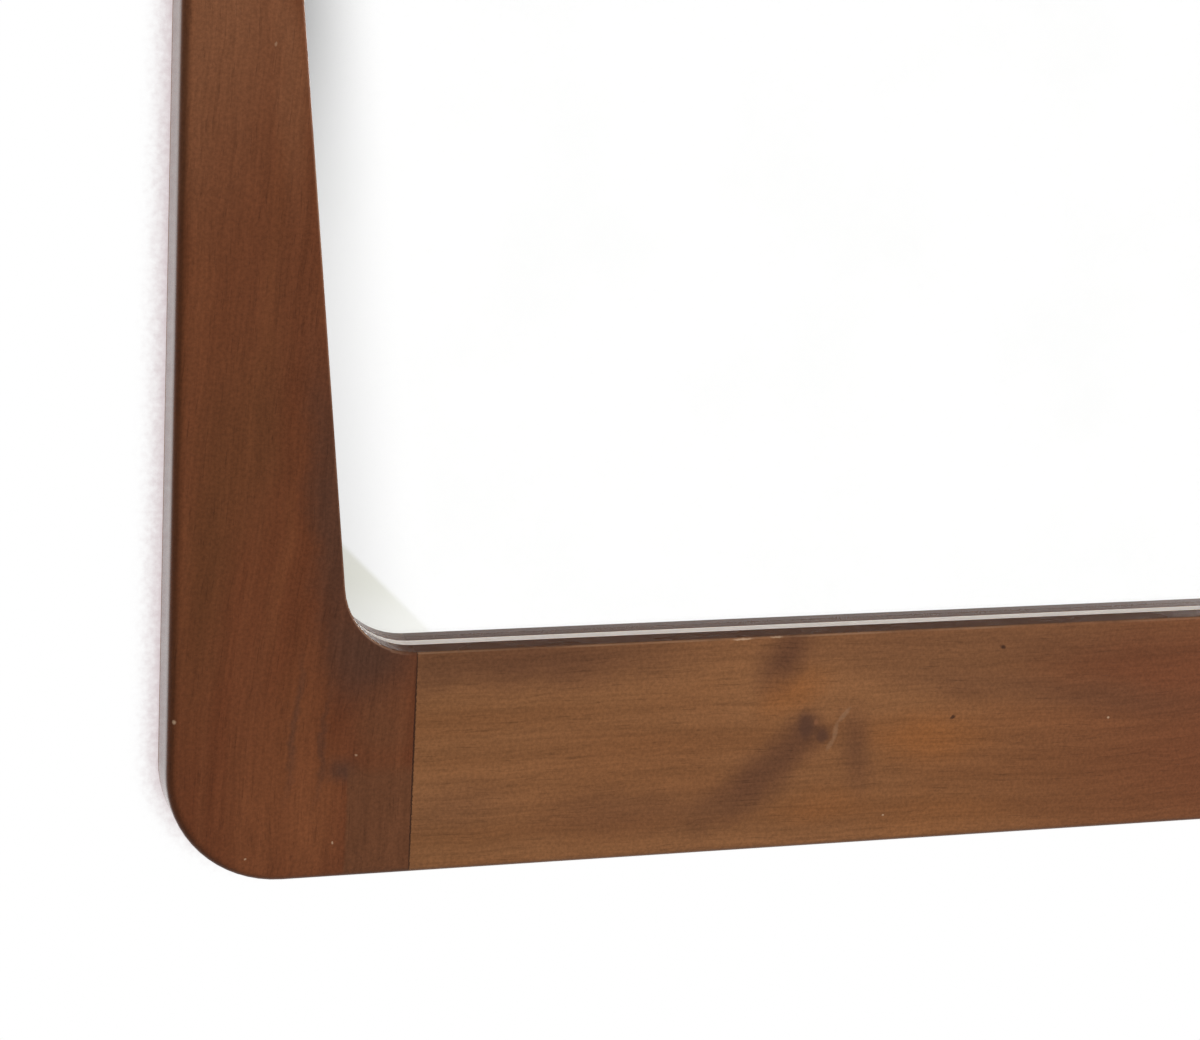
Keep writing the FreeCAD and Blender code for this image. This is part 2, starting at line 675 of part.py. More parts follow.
def hanger_screws():
    """Two slotted round-head screws, one below the other, whose heads bear on the strap."""
    body = new_body("left_hanger_screws")
    body.AllowCompound = True
    head_radius = size.screw_head_diameter / 2
    shank_radius = size.screw_diameter / 2
    dome_radius = (size.screw_head_height ** 2 + head_radius ** 2) / (2 * size.screw_head_height)
    dome_centre = size.screw_head_height - dome_radius
    half_way = math.atan2(head_radius, -dome_centre) / 2
    shank_end = size.screw_tip_length - size.screw_length
    profile = sketch_on(body, "YZ_Plane", "screw_profile")
    draw_lines(profile, [(0, head_radius), (0, shank_radius), (shank_end, shank_radius),
                         (-size.screw_length, 0), (size.screw_head_height, 0)])
    seat, shank, _, axis = range(4)
    dome_middle = FreeCAD.Vector(dome_centre + dome_radius * math.cos(half_way),
                                 dome_radius * math.sin(half_way))
    dome = profile.addGeometry(Part.Arc(FreeCAD.Vector(size.screw_head_height, 0), dome_middle,
                                        FreeCAD.Vector(0, head_radius)), False)
    profile.addConstraint(Sketcher.Constraint("Coincident", axis, END, dome, START))
    profile.addConstraint(Sketcher.Constraint("Coincident", dome, END, seat, START))
    profile.addConstraint(Sketcher.Constraint("PointOnObject", dome, CENTRE, X_AXIS))
    profile.addConstraint(Sketcher.Constraint("PointOnObject", axis, START, X_AXIS))
    profile.addConstraint(Sketcher.Constraint("PointOnObject", axis, END, X_AXIS))
    profile.addConstraint(Sketcher.Constraint("PointOnObject", seat, START, Y_AXIS))
    profile.addConstraint(Sketcher.Constraint("Vertical", seat))
    profile.addConstraint(Sketcher.Constraint("Horizontal", shank))
    dimension(profile, "DistanceY", X_AXIS, START, seat, START, formula="screw_head_diameter / 2")
    dimension(profile, "DistanceY", X_AXIS, START, seat, END, formula="screw_diameter / 2")
    dimension(profile, "DistanceX", shank, END, X_AXIS, START, formula="screw_length - screw_tip_length")
    dimension(profile, "DistanceX", axis, START, X_AXIS, START, formula="screw_length")
    dimension(profile, "DistanceX", X_AXIS, START, axis, END, formula="screw_head_height")
    turned = body.newObject("PartDesign::Revolution", "screw_turned")
    turned.Profile = profile
    turned.ReferenceAxis = (profile, ["H_Axis"])

    half_width = size.screw_slot_width / 2
    slot = sketch_on(body, "XZ_Plane", "screw_slot", "screw_slot_depth - screw_head_height")
    draw_lines(slot, [(-head_radius, -half_width), (head_radius, -half_width), (head_radius, half_width),
                      (-head_radius, half_width), (-head_radius, -half_width)])
    bottom, right, top, left = range(4)
    slot.addConstraint(Sketcher.Constraint("Coincident", left, END, bottom, START))
    for line in (bottom, top):
        slot.addConstraint(Sketcher.Constraint("Horizontal", line))
    for line in (right, left):
        slot.addConstraint(Sketcher.Constraint("Vertical", line))
    slot.addConstraint(Sketcher.Constraint("Symmetric", bottom, START, top, START, X_AXIS, START))
    dimension(slot, "DistanceX", bottom, START, bottom, END, formula="screw_head_diameter")
    dimension(slot, "DistanceY", right, START, right, END, formula="screw_slot_width")
    pocket = body.newObject("PartDesign::Pocket", "screw_slot_pocket")
    pocket.Profile = slot
    bind(pocket, Length="screw_head_height")
    pair = body.newObject("PartDesign::LinearPattern", "screw_pair")
    pair.Originals = [turned, pocket]
    z_axis = next(feature for feature in body.Origin.OriginFeatures if feature.Role == "Z_Axis")
    pair.Direction = (z_axis, [""])
    pair.Reversed = True
    pair.Occurrences = 2
    bind(pair, Length="screw_pitch")
    body.Tip = pair
    place(body, f"{LEFT} + hanger_inset", f"{BACK} + strap_thickness", "-screw_drop")
    return body


def bumper():
    """A round pad on a lower corner of the frame, softened where it meets the wall."""
    body = new_body("left_bumper")
    circle = sketch_on(body, "XZ_Plane", "bumper_circle")
    number = draw_circle(circle, 0, 0, size.bumper_diameter / 2, "bumper_diameter")
    circle.addConstraint(Sketcher.Constraint("Coincident", number, CENTRE, X_AXIS, START))
    pad = body.newObject("PartDesign::Pad", "bumper_pad")
    pad.Profile = circle
    pad.Reversed = True
    bind(pad, Length="bumper_thickness")
    doc.recompute()
    wall_edge = max(range(len(pad.Shape.Edges)), key=lambda index: pad.Shape.Edges[index].BoundBox.YMin)
    soft = body.newObject("PartDesign::Fillet", "bumper_edge")
    soft.Base = (pad, [f"Edge{wall_edge + 1}"])
    bind(soft, Radius="bumper_edge_radius")
    place(body, f"{LEFT} + bumper_inset", BACK, f"{FOOT} + bumper_inset")
    return body


for make in (hanger_strap, hanger_ring, hanger_screws, bumper):
    left_piece = node(make())
    node(mirrored(left_piece.Name.replace("left", "right"), left_piece))

doc.recompute()

for thing in doc.Objects:
    if "Invalid" in thing.State or "Error" in thing.State:
        raise RuntimeError(f"{thing.Name} failed: {thing.State}")
for piece in nodes:
    if piece.Shape.isNull() or not piece.Shape.isValid():
        raise RuntimeError(f"{piece.Label} has no valid shape")

os.makedirs("parts", exist_ok=True)
for piece in nodes:
    piece.Shape.exportStep(f"parts/{piece.Label}.step")
    bounds = piece.Shape.optimalBoundingBox()
    print(f"{piece.Label}: {len(piece.Shape.Solids)} solids, {piece.Shape.Volume:.1f} mm3, "
          f"{bounds.XLength:.1f} x {bounds.YLength:.1f} x {bounds.ZLength:.1f} mm")
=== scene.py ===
# %% [markdown]
# # A wooden wall mirror
# The mirror has a stained and lacquered wooden frame, a glass plate silvered on its back, and two rings
# to hang it by. Its solids come from a CAD model that is already in place, in metres: X runs to the
# right, Y runs into the wall and Z is up. This script leaves the solids where they are. It sets up a
# camera, gives each solid a finish, and then adds the wall, the floor and the light.

# %% Load the solids
import math

import bpy
from mathutils import Matrix, Vector


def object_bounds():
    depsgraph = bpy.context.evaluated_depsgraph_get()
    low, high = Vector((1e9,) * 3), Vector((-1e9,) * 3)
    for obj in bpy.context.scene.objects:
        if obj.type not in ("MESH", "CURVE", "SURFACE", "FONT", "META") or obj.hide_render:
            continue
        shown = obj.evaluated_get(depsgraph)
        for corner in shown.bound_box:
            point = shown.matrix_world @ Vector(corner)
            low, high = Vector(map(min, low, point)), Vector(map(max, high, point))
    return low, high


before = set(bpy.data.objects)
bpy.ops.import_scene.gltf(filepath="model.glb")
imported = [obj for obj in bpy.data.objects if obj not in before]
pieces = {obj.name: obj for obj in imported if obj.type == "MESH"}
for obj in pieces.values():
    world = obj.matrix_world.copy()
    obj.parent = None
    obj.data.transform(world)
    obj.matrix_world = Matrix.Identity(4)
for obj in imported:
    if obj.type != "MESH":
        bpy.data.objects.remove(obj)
cad_low, cad_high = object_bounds()
cad_size = cad_high - cad_low
print(f"{len(pieces)} solids, {cad_size[0]:.3f} m wide and {cad_size[2]:.3f} m high")

# %% [markdown]
# ## The camera
# The picture shows one lower corner of the frame from close by, from the left and above, with the
# camera slightly rolled. A camera can be aimed with a Track To constraint, but that can't give the roll.
# Here its three directions are worked out from yaw, pitch and roll, and become the columns of its matrix.

# %% Camera
CAMERA_PLACE = Vector((-0.59596, -1.06335, 0.07973))
CAMERA_YAW, CAMERA_PITCH, CAMERA_ROLL = (math.radians(angle) for angle in (18.184, 16.061, 3.242))
CAMERA_LENS = 101.11

ahead = Vector((
    math.sin(CAMERA_YAW) * math.cos(CAMERA_PITCH),
    math.cos(CAMERA_YAW) * math.cos(CAMERA_PITCH),
    -math.sin(CAMERA_PITCH),
))
level_right = Vector((math.cos(CAMERA_YAW), -math.sin(CAMERA_YAW), 0))
level_up = level_right.cross(ahead)
right = math.cos(CAMERA_ROLL) * level_right + math.sin(CAMERA_ROLL) * level_up
up = math.cos(CAMERA_ROLL) * level_up - math.sin(CAMERA_ROLL) * level_right

bpy.ops.object.camera_add()
camera = bpy.context.object
camera.name = "corner_camera"
camera.data.lens = CAMERA_LENS
turn = Matrix((right, up, -ahead)).transposed().to_4x4()
camera.matrix_world = Matrix.Translation(CAMERA_PLACE) @ turn
bpy.context.scene.camera = camera
print(f"Camera {(CAMERA_PLACE - cad_low).length:.2f} m from the corner")

# %% [markdown]
# ## Sums in a shader
# A finish is a tree of nodes. Adding each node by hand takes many lines, so these helpers add one node,
# join its inputs and return its output. An input is either a plain number or the output of another node.

# %% Sums with nodes
def join(tree, socket, value):
    """Link an output to an input, or write a plain value into it."""
    if isinstance(value, bpy.types.NodeSocket):
        tree.links.new(value, socket)
    else:
        socket.default_value = value


def sums(tree, operation, first, second=0.0, third=0.0):
    """One sum of a Math node."""
    node = tree.nodes.new("ShaderNodeMath")
    node.operation = operation
    for number, value in enumerate((first, second, third)):
        join(tree, node.inputs[number], value)
    return node.outputs[0]


def times(tree, product, *factors):
    """Several values multiplied with each other."""
    for factor in factors:
        product = sums(tree, "MULTIPLY", product, factor)
    return product


def remainder(tree, share):
    """What a share leaves of one."""
    return sums(tree, "SUBTRACT", 1.0, share)


def vector_sums(tree, operation, *values):
    """One sum of a Vector Math node. The length of a vector comes out as a plain value."""
    node = tree.nodes.new("ShaderNodeVectorMath")
    node.operation = operation
    for number, value in enumerate(values):
        join(tree, node.inputs[number], value)
    return node.outputs["Value" if operation == "LENGTH" else "Vector"]


def parts_of(tree, vector):
    """X, Y and Z of a vector."""
    node = tree.nodes.new("ShaderNodeSeparateXYZ")
    join(tree, node.inputs[0], vector)
    return node.outputs["X"], node.outputs["Y"], node.outputs["Z"]


def between(tree, value, low, high, start=0.0, end=1.0):
    """Move a value from one range to another, smoothly, and keep it inside."""
    node = tree.nodes.new("ShaderNodeMapRange")
    node.interpolation_type = "SMOOTHSTEP"
    for number, given in enumerate((value, low, high, start, end)):
        join(tree, node.inputs[number], given)
    return node.outputs[0]


print("Sums: Math, Vector Math, Separate XYZ and Map Range nodes")

# %% [markdown]
# ## Patterns in a shader
# Wood, cork, rust and plaster all start here from one cloudy noise, which is shrunk, drawn out or
# shifted. A Mapping node usually multiplies places, but as a Texture mapping it divides them, so that a
# pattern can be given by real sizes in metres.

# %% Patterns with nodes
def steps(tree, place, step, lean=0.0, centre=(0, 0, 0)):
    """Places counted in steps of some size in metres, on axes that lean to the right."""
    node = tree.nodes.new("ShaderNodeMapping")
    node.vector_type = "TEXTURE"
    join(tree, node.inputs["Vector"], place)
    node.inputs["Location"].default_value = centre
    node.inputs["Rotation"].default_value = (0, math.radians(lean), 0)
    node.inputs["Scale"].default_value = step
    return node.outputs[0]


def noise(tree, place, detail=2.0, roughness=0.5, colour=False):
    """Cloudy noise about one step across."""
    node = tree.nodes.new("ShaderNodeTexNoise")
    join(tree, node.inputs["Vector"], place)
    node.inputs["Scale"].default_value = 1
    node.inputs["Detail"].default_value = detail
    node.inputs["Roughness"].default_value = roughness
    return node.outputs["Color" if colour else "Fac"]


def speckle(tree, place, step, detail=3.0, roughness=0.6, colour=False):
    """Noise of one size in all directions."""
    return noise(tree, steps(tree, place, (step, step, step)), detail, roughness, colour)


def blend(tree, share, under, over):
    """Lay one colour over another."""
    node = tree.nodes.new("ShaderNodeMix")
    node.data_type = "RGBA"
    join(tree, node.inputs["Factor"], share)
    join(tree, node.inputs["A"], under)
    join(tree, node.inputs["B"], over)
    return node.outputs["Result"]


print("Patterns: Mapping, Noise Texture and Mix nodes")

# %% [markdown]
# ## Finishes
# Each finish is a material with one Principled shader, the one that other programs can read too. Its
# patterns use the object's own coordinates, so that they stay on a piece that moves. Colours are
# written as on a screen, and turned into the linear values that Blender works with.

# %% Finishes and colours
def rgb(red, green, blue):
    """A colour given as on a screen, from 0 to 255, as the linear values that Blender uses."""
    shares = [part / 255 for part in (red, green, blue)]
    return (*[s / 12.92 if s <= 0.04045 else ((s + 0.055) / 1.055) ** 2.4 for s in shares], 1.0)


def new_finish(name, roughness, specular):
    """A material with one Principled shader. Returns it with its tree, its shader and the place."""
    material = bpy.data.materials.new(name)
    material.use_nodes = True
    tree = material.node_tree
    shader = tree.nodes["Principled BSDF"]
    shader.inputs["Roughness"].default_value = roughness
    shader.inputs["Specular IOR Level"].default_value = specular
    place = tree.nodes.new("ShaderNodeTexCoord").outputs["Object"]
    return material, tree, shader, place


def bump(tree, shader, height, distance, strength=1.0):
    """Raise the surface by a height, where one stands for a distance in metres."""
    node = tree.nodes.new("ShaderNodeBump")
    node.inputs["Strength"].default_value = strength
    node.inputs["Distance"].default_value = distance
    join(tree, node.inputs["Height"], height)
    join(tree, shader.inputs["Normal"], node.outputs[0])


def dress(material, *names):
    """Put a finish on some of the solids."""
    for name in names:
        data = pieces[name].data
        data.materials.clear()
        data.materials.append(material)
    print(f"{material.name}: {', '.join(names)}")


WHITE, BLACK = (1, 1, 1, 1), (0, 0, 0, 1)
print(f"A middle grey of 128 on a screen is {rgb(128, 128, 128)[0]:.2f} as a linear value")

# %% [markdown]
# ## Grain
# The frame is a close-grained wood under a brown stain and a satin lacquer. Its grain runs up the stiles
# and along the rails. An image of wood would be the quick way, but a finish made of nodes stays sharp at
# any size and follows the solid round its edges. Each board gets layers of noise drawn out along the
# grain. Before they are read, the place is shifted by a slow noise, so that the lines wander a little.

# %% Grain
# One step of each layer along and across the grain, then the detail and roughness of its noise.
GRAIN_LAYERS = {
    "streaks": (0.5, 0.024, 3.0, 0.5),
    "clouds": (0.11, 0.04, 3.0, 0.5),
    "bands": (0.16, 0.0042, 3.0, 0.6),
    "lines": (0.07, 0.0012, 2.0, 0.5),
    "fibres": (0.03, 0.0011, 2.0, 0.5),
    "pores": (0.011, 0.0006, 1.0, 0.5),
    "wear": (0.05, 0.02, 2.0, 0.5),
}
MOTTLE_STEP, MOTTLE_DETAIL, MOTTLE_ROUGHNESS = 0.0012, 3.0, 0.7
WANDER_STEP, WANDER_REACH = 0.11, 0.012
NOISE_MIDDLE = 0.5


def shaken(tree, place, step, reach):
    """Places moved about by noise of some step and reach, so that what is drawn there wanders or frays."""
    shake = speckle(tree, place, step, colour=True)
    centred = vector_sums(tree, "SUBTRACT", shake, (NOISE_MIDDLE, NOISE_MIDDLE, NOISE_MIDDLE))
    return vector_sums(tree, "MULTIPLY_ADD", centred, (reach, reach, reach), place)


def grain_layers(tree, place, along, lean, seed):
    """The noise of each layer by its name. Another seed gives another board of the same wood."""
    moved = vector_sums(tree, "ADD", place, (seed, seed, seed))
    wandering = shaken(tree, moved, WANDER_STEP, WANDER_REACH)
    layers = {"mottle": speckle(tree, moved, MOTTLE_STEP, MOTTLE_DETAIL, MOTTLE_ROUGHNESS)}
    for name, (length, width, detail, roughness) in GRAIN_LAYERS.items():
        step = (width, width, length) if along == "Z" else (length, width, width)
        layers[name] = noise(tree, steps(tree, wandering, step, lean), detail, roughness)
    return layers


print(f"Grain in {len(GRAIN_LAYERS)} layers: {', '.join(GRAIN_LAYERS)}")

# %% [markdown]
# ## Stain
# Stain sinks deeper into some of the wood than into the rest, so a board has dark and light streaks and
# a cloud here and there. The fine layers could each be a colour of their own. It is simpler to let them
# make the stain a little darker or lighter, because that holds for a red board and for a golden one.

# %% Stain
# A range of the layer's noise, and what the layer gives at the two ends of that range.
STREAK_SHARE = (0.36, 0.64, 0.0, 1.0)
CLOUD_SHARE = (0.45, 0.7, 0.0, 0.6)
FINE_SHADES = {
    "bands": (0.25, 0.75, 0.94, 1.06),
    "fibres": (0.25, 0.75, 0.92, 1.08),
    "mottle": (0.25, 0.75, 0.84, 1.16),
    "lines": (0.58, 0.72, 1.0, 0.9),
    "pores": (0.62, 0.74, 1.0, 0.82),
}


def stain(tree, layers, tones):
    """Dark and light streaks with clouds over them."""
    streaks = between(tree, layers["streaks"], *STREAK_SHARE)
    clouds = between(tree, layers["clouds"], *CLOUD_SHARE)
    return blend(tree, clouds, blend(tree, streaks, tones["dark"], tones["light"]), tones["cloud"])


def fine_grain(tree, layers, colour):
    """A colour made darker or lighter by the fine layers."""
    shade = times(tree, *(between(tree, layers[name], *given) for name, given in FINE_SHADES.items()))
    node = tree.nodes.new("ShaderNodeVectorMath")
    node.operation = "SCALE"
    join(tree, node.inputs[0], colour)
    join(tree, node.inputs["Scale"], shade)
    return node.outputs[0]


print(f"Stain shaded by {', '.join(FINE_SHADES)}")

# %% [markdown]
# ## Figure and nicks
# What sets one board apart from the next, such as a knot, a dusky band or a chip, isn't found in noise.
# It could be painted by hand on an image. Here each mark is a soft oval at a place of its own, drawn on
# places that were shaken first, which frays its edge. The figure goes through the whole board, and a
# nick only shows on its front. Where one tone ends along a straight line, a strip is drawn instead.

# %% Figure and nicks
# The middle of a mark in Y and half its size there.
THROUGH_BOARD, FRONT_SKIN = (-0.014, 0.1), (-0.023, 0.002)
FIGURE_CORE, NICK_CORE = 0.1, 0.35
# The step and reach of what frays an edge.
FIGURE_SWAY, FIGURE_FRAY = (0.016, 0.009), (0.0025, 0.0025)
NICK_FRAY, STRIP_FRAY = (0.0012, 0.0009), (0.004, 0.0015)
STRIP_SIDE_SOFT, STRIP_HEAD_SOFT, STRIP_SHARE = 0.0015, 0.009, 0.9


def oval(tree, place, centre, half_size, lean, depth, core):
    """A soft oval by its centre and half its size in X and Z, and the same in Y."""
    size = (half_size[0], depth[1], half_size[1])
    inside = steps(tree, place, size, lean, (centre[0], depth[0], centre[1]))
    return between(tree, vector_sums(tree, "LENGTH", inside), core, 1.0, 1.0, 0.0)


def draw_marks(tree, place, colour, marks, depth, core):
    """Lay ovals over a colour, each with a colour, a share, a centre, half a size and a lean in degrees."""
    for mark_colour, share, centre, half_size, lean in marks:
        mask = oval(tree, place, centre, half_size, lean, depth, core)
        colour = blend(tree, times(tree, mask, share), colour, mark_colour)
    return colour


def draw_strip(tree, place, colour, strip_colour, left, head):
    """Lay a colour to the right of a straight edge and below a height."""
    x, _, z = parts_of(tree, shaken(tree, place, *STRIP_FRAY))
    beside = between(tree, x, left, left + STRIP_SIDE_SOFT)
    below = between(tree, z, head - STRIP_HEAD_SOFT, head, 1.0, 0.0)
    return blend(tree, times(tree, beside, below, STRIP_SHARE), colour, strip_colour)


print(f"Full colour in the middle {FIGURE_CORE:.0%} of a figure mark and {NICK_CORE:.0%} of a nick")

# %% [markdown]
# ## Edges
# The faces of the lip round the opening are painted a dark, even brown: a painted shade, as they turn away
# from the light.
# Its arris is painted pale, partly as wear from hands and partly as a painted highlight. The outer arris is
# painted darker, a painted shade on the edge that rounds away from the light. The back was left bare. The
# edges could be picked out face by face, but a CAD mesh is left as it is, so the finish reads them from the
# normal: its Y is one on the front and zero on a side.

# %% Edges
# The rubbed colour is partly wear and partly a painted highlight on the lip's arris.
RAW_WOOD, RUBBED_AND_HIGHLIGHT = rgb(158, 116, 78), rgb(158, 122, 94)
# The lip's tone and the darker outer arris are painted shade.
LIP_PAINTED_SHADE, OUTER_ARRIS_SHADE, OUTER_ARRIS_SHADE_SHARE = rgb(94, 60, 40), rgb(60, 32, 12), 0.35
LIP_REACH, LIP_FOOT, LIP_HEAD = 0.38, -0.3, 0.085
BARE_BACK = (-0.0062, -0.0054)
# A range of how squarely a place faces front, or of the wear, and what it gives at the two ends.
LIP_FACING = (0.1, 0.3, 1.0, 0.0)
ARRIS_START, ARRIS_END = (0.3, 0.6, 0.0, 1.0), (0.8, 0.99, 1.0, 0.0)
RUBBED_AND_HIGHLIGHT_SHARE = (0.35, 0.65, 0.05, 0.5)


def edges_of(tree, place):
    """How squarely a place faces front, and whether it is by the opening, stained outside it, or bare."""
    normal = tree.nodes.new("ShaderNodeTexCoord").outputs["Normal"]
    facing = sums(tree, "ABSOLUTE", parts_of(tree, normal)[1])
    x, y, z = parts_of(tree, place)
    inner = times(
        tree,
        sums(tree, "LESS_THAN", sums(tree, "ABSOLUTE", x), LIP_REACH),
        sums(tree, "GREATER_THAN", z, LIP_FOOT),
        sums(tree, "LESS_THAN", z, LIP_HEAD),
    )
    bare = between(tree, y, *BARE_BACK)
    outer = times(tree, remainder(tree, inner), remainder(tree, bare))
    return facing, inner, outer, bare


def edge_wear_and_shade(tree, colour, facing, inner, outer, wear):
    """A colour with the painted shade of the lip, its arris rubbed pale with a painted highlight, and the
    painted shade of the outer arris laid over it.
    """
    # Painted shade on the faces of the lip round the opening.
    colour = blend(tree, times(tree, between(tree, facing, *LIP_FACING), inner), colour, LIP_PAINTED_SHADE)
    arris = times(tree, between(tree, facing, *ARRIS_START), between(tree, facing, *ARRIS_END))
    # The lip's arris turns pale, partly as wear and partly as a painted highlight.
    worn_and_highlight = times(tree, arris, inner, between(tree, wear, *RUBBED_AND_HIGHLIGHT_SHARE))
    colour = blend(tree, worn_and_highlight, colour, RUBBED_AND_HIGHLIGHT)
    # Painted shade on the outer arris, which rounds away from the light.
    return blend(tree, times(tree, arris, outer, OUTER_ARRIS_SHADE_SHARE), colour, OUTER_ARRIS_SHADE)


print(f"Lip within {LIP_REACH} m of the middle, from {LIP_FOOT} to {LIP_HEAD} m in height")

# %% [markdown]
# ## A board
# The layers now come together in order: stain, figure, bare back, fine grain, edges, nicks and lacquer.
# The lacquer is satin on the front. It lies thicker on the outer sides, where it shows as a pale strip,
# and thins out towards the front arris. A lower roughness would make the wood itself shine, so the
# thick lacquer is the shader's coat, which is a clear layer over the wood.

# %% A board
LACQUER_GLOSS = (0.3, 0.7, 0.24, 0.32)
RAW_ROUGHNESS = 0.8
COAT_FACING, COAT_DEPTH = (0.15, 0.5, 0.9, 0.0), (-0.0205, -0.0155, 0.3, 1.0)
COAT_ROUGHNESS = 0.12
PORE_DENT = (0.62, 0.74)
GRAIN_RELIEF, GRAIN_STRENGTH = 0.00004, 0.5


def wooden_board(name, along, lean, tones, figure, nicks, seed, strip=None):
    """A stained and lacquered board. Figure and nicks are lists of marks."""
    material, tree, shader, place = new_finish(name, roughness=0.3, specular=0.06)
    layers = grain_layers(tree, place, along, lean, seed)
    facing, inner, outer, bare = edges_of(tree, place)

    colour = stain(tree, layers, tones)
    frayed = shaken(tree, shaken(tree, place, *FIGURE_SWAY), *FIGURE_FRAY)
    colour = draw_marks(tree, frayed, colour, figure, THROUGH_BOARD, FIGURE_CORE)
    if strip:
        colour = draw_strip(tree, place, colour, *strip)
    colour = blend(tree, bare, colour, RAW_WOOD)
    colour = fine_grain(tree, layers, colour)
    colour = edge_wear_and_shade(tree, colour, facing, inner, outer, layers["wear"])
    chipped = shaken(tree, place, *NICK_FRAY)
    colour = draw_marks(tree, chipped, colour, nicks, FRONT_SKIN, NICK_CORE)
    join(tree, shader.inputs["Base Color"], colour)

    depth = parts_of(tree, place)[1]
    coat = times(tree, between(tree, facing, *COAT_FACING), outer, between(tree, depth, *COAT_DEPTH))
    join(tree, shader.inputs["Coat Weight"], coat)
    shader.inputs["Coat Roughness"].default_value = COAT_ROUGHNESS
    gloss = between(tree, layers["clouds"], *LACQUER_GLOSS)
    join(tree, shader.inputs["Roughness"], sums(tree, "MAXIMUM", gloss, times(tree, bare, RAW_ROUGHNESS)))
    raised = sums(tree, "SUBTRACT", layers["fibres"], between(tree, layers["pores"], *PORE_DENT))
    bump(tree, shader, raised, GRAIN_RELIEF, GRAIN_STRENGTH)
    return material


print(f"Lacquer from {LACQUER_GLOSS[2]} to {LACQUER_GLOSS[3]} rough, on the sides {COAT_ROUGHNESS}")

# %% [markdown]
# ## The stiles
# The uprights are the redder boards. On the left one the grain leans a little to the right on its way
# up, the wood is darker beside the opening, and a dusky strip with a straight edge runs beside the
# joint. A few small chips show bare wood, and a dark line shows where each joint is glued. The marks are
# placed one by one, and one that comes later in a list lies over the earlier ones.
# Both stiles are painted a lighter tan towards the top, as painted light.

# %% Stiles
RED_BROWN = {"dark": rgb(98, 53, 31), "light": rgb(112, 65, 40), "cloud": rgb(105, 60, 37)}
UMBER, DUSKY, OLIVE = rgb(80, 52, 39), rgb(101, 63, 41), rgb(95, 57, 33)
# Tan is the pale speck in the knot, and at the tops of the stiles it is painted light.
ORANGE, TAN_AND_PAINTED_LIGHT = rgb(119, 70, 42), rgb(134, 88, 60)
GLUE, BARE = rgb(44, 27, 20), rgb(196, 164, 134)
GLUE_SHARE, GLUE_HALF_SIZE = 0.85, (0.00045, 0.08)
LOWER_JOINT, UPPER_JOINT = (0.316, -0.32), (0.348, 0.1)
STRIP_LEFT, STRIP_HEAD = -0.3395, -0.316
LEFT, RIGHT = -1, 1


def glue_line(joint, side):
    """The dark line of a glued joint on one side of the frame."""
    x, z = joint
    return GLUE, GLUE_SHARE, (side * x, z), GLUE_HALF_SIZE, 0


LEFT_STILE_FIGURE = [
    # The three tan marks paint the top of the stile lighter, as painted light.
    (TAN_AND_PAINTED_LIGHT, 0.8, (-0.3855, -0.01), (0.034, 0.15), 0),
    (TAN_AND_PAINTED_LIGHT, 0.4, (-0.365, -0.085), (0.008, 0.06), -5),
    (TAN_AND_PAINTED_LIGHT, 0.25, (-0.395, -0.085), (0.008, 0.07), 0),
    (OLIVE, 0.7, (-0.3885, -0.24), (0.014, 0.09), 4),
    (ORANGE, 0.7, (-0.362, -0.33), (0.026, 0.05), 5),
    (OLIVE, 0.6, (-0.373, -0.205), (0.015, 0.05), 4),
    (ORANGE, 0.3, (-0.3722, -0.17), (0.005, 0.11), 6),
    (ORANGE, 0.35, (-0.3625, -0.245), (0.004, 0.05), 6),
    (UMBER, 0.8, (-0.3465, -0.232), (0.0125, 0.085), -6),
    (UMBER, 0.95, (-0.331, -0.2785), (0.026, 0.028), 20),
    (ORANGE, 0.5, (-0.3555, -0.297), (0.014, 0.034), 5),
    (ORANGE, 0.8, (-0.3495, -0.338), (0.014, 0.034), 3),
    (DUSKY, 0.7, (-0.3265, -0.306), (0.016, 0.022), 0),
    (UMBER, 0.85, (-0.341, -0.3214), (0.0095, 0.0072), 0),
    (UMBER, 0.55, (-0.3573, -0.3039), (0.0024, 0.036), 6),
    (UMBER, 0.5, (-0.3478, -0.3118), (0.002, 0.03), 6),
]
LEFT_STILE_NICKS = [
    glue_line(LOWER_JOINT, LEFT),
    glue_line(UPPER_JOINT, LEFT),
    (BARE, 0.3, (-0.3703, -0.0755), (0.0006, 0.001), 10),
    (BARE, 0.4, (-0.336, -0.3154), (0.0007, 0.0005), 30),
    (BARE, 0.8, (-0.3982, -0.3006), (0.0009, 0.0011), 0),
    (BARE, 0.6, (-0.3432, -0.3467), (0.0005, 0.0007), 0),
    (BARE, 0.6, (-0.3731, -0.3506), (0.0005, 0.0005), 0),
]
RIGHT_STILE_FIGURE = [
    # The tan mark paints the top of this stile lighter, as painted light.
    (TAN_AND_PAINTED_LIGHT, 0.6, (0.385, -0.02), (0.03, 0.14), 0),
    (OLIVE, 0.6, (0.385, -0.18), (0.015, 0.1), -4),
    (UMBER, 0.6, (0.349, -0.22), (0.008, 0.09), 5),
    (ORANGE, 0.6, (0.366, -0.31), (0.022, 0.06), -4),
    (UMBER, 0.5, (0.374, -0.08), (0.0016, 0.06), -3),
]
RIGHT_STILE_NICKS = [
    glue_line(LOWER_JOINT, RIGHT),
    glue_line(UPPER_JOINT, RIGHT),
    (BARE, 0.6, (0.391, -0.21), (0.0006, 0.0008), 0),
]
left_wood = wooden_board(
    "left_stile_wood", along="Z", lean=4, tones=RED_BROWN, figure=LEFT_STILE_FIGURE,
    nicks=LEFT_STILE_NICKS, seed=0.0, strip=(DUSKY, STRIP_LEFT, STRIP_HEAD),
)
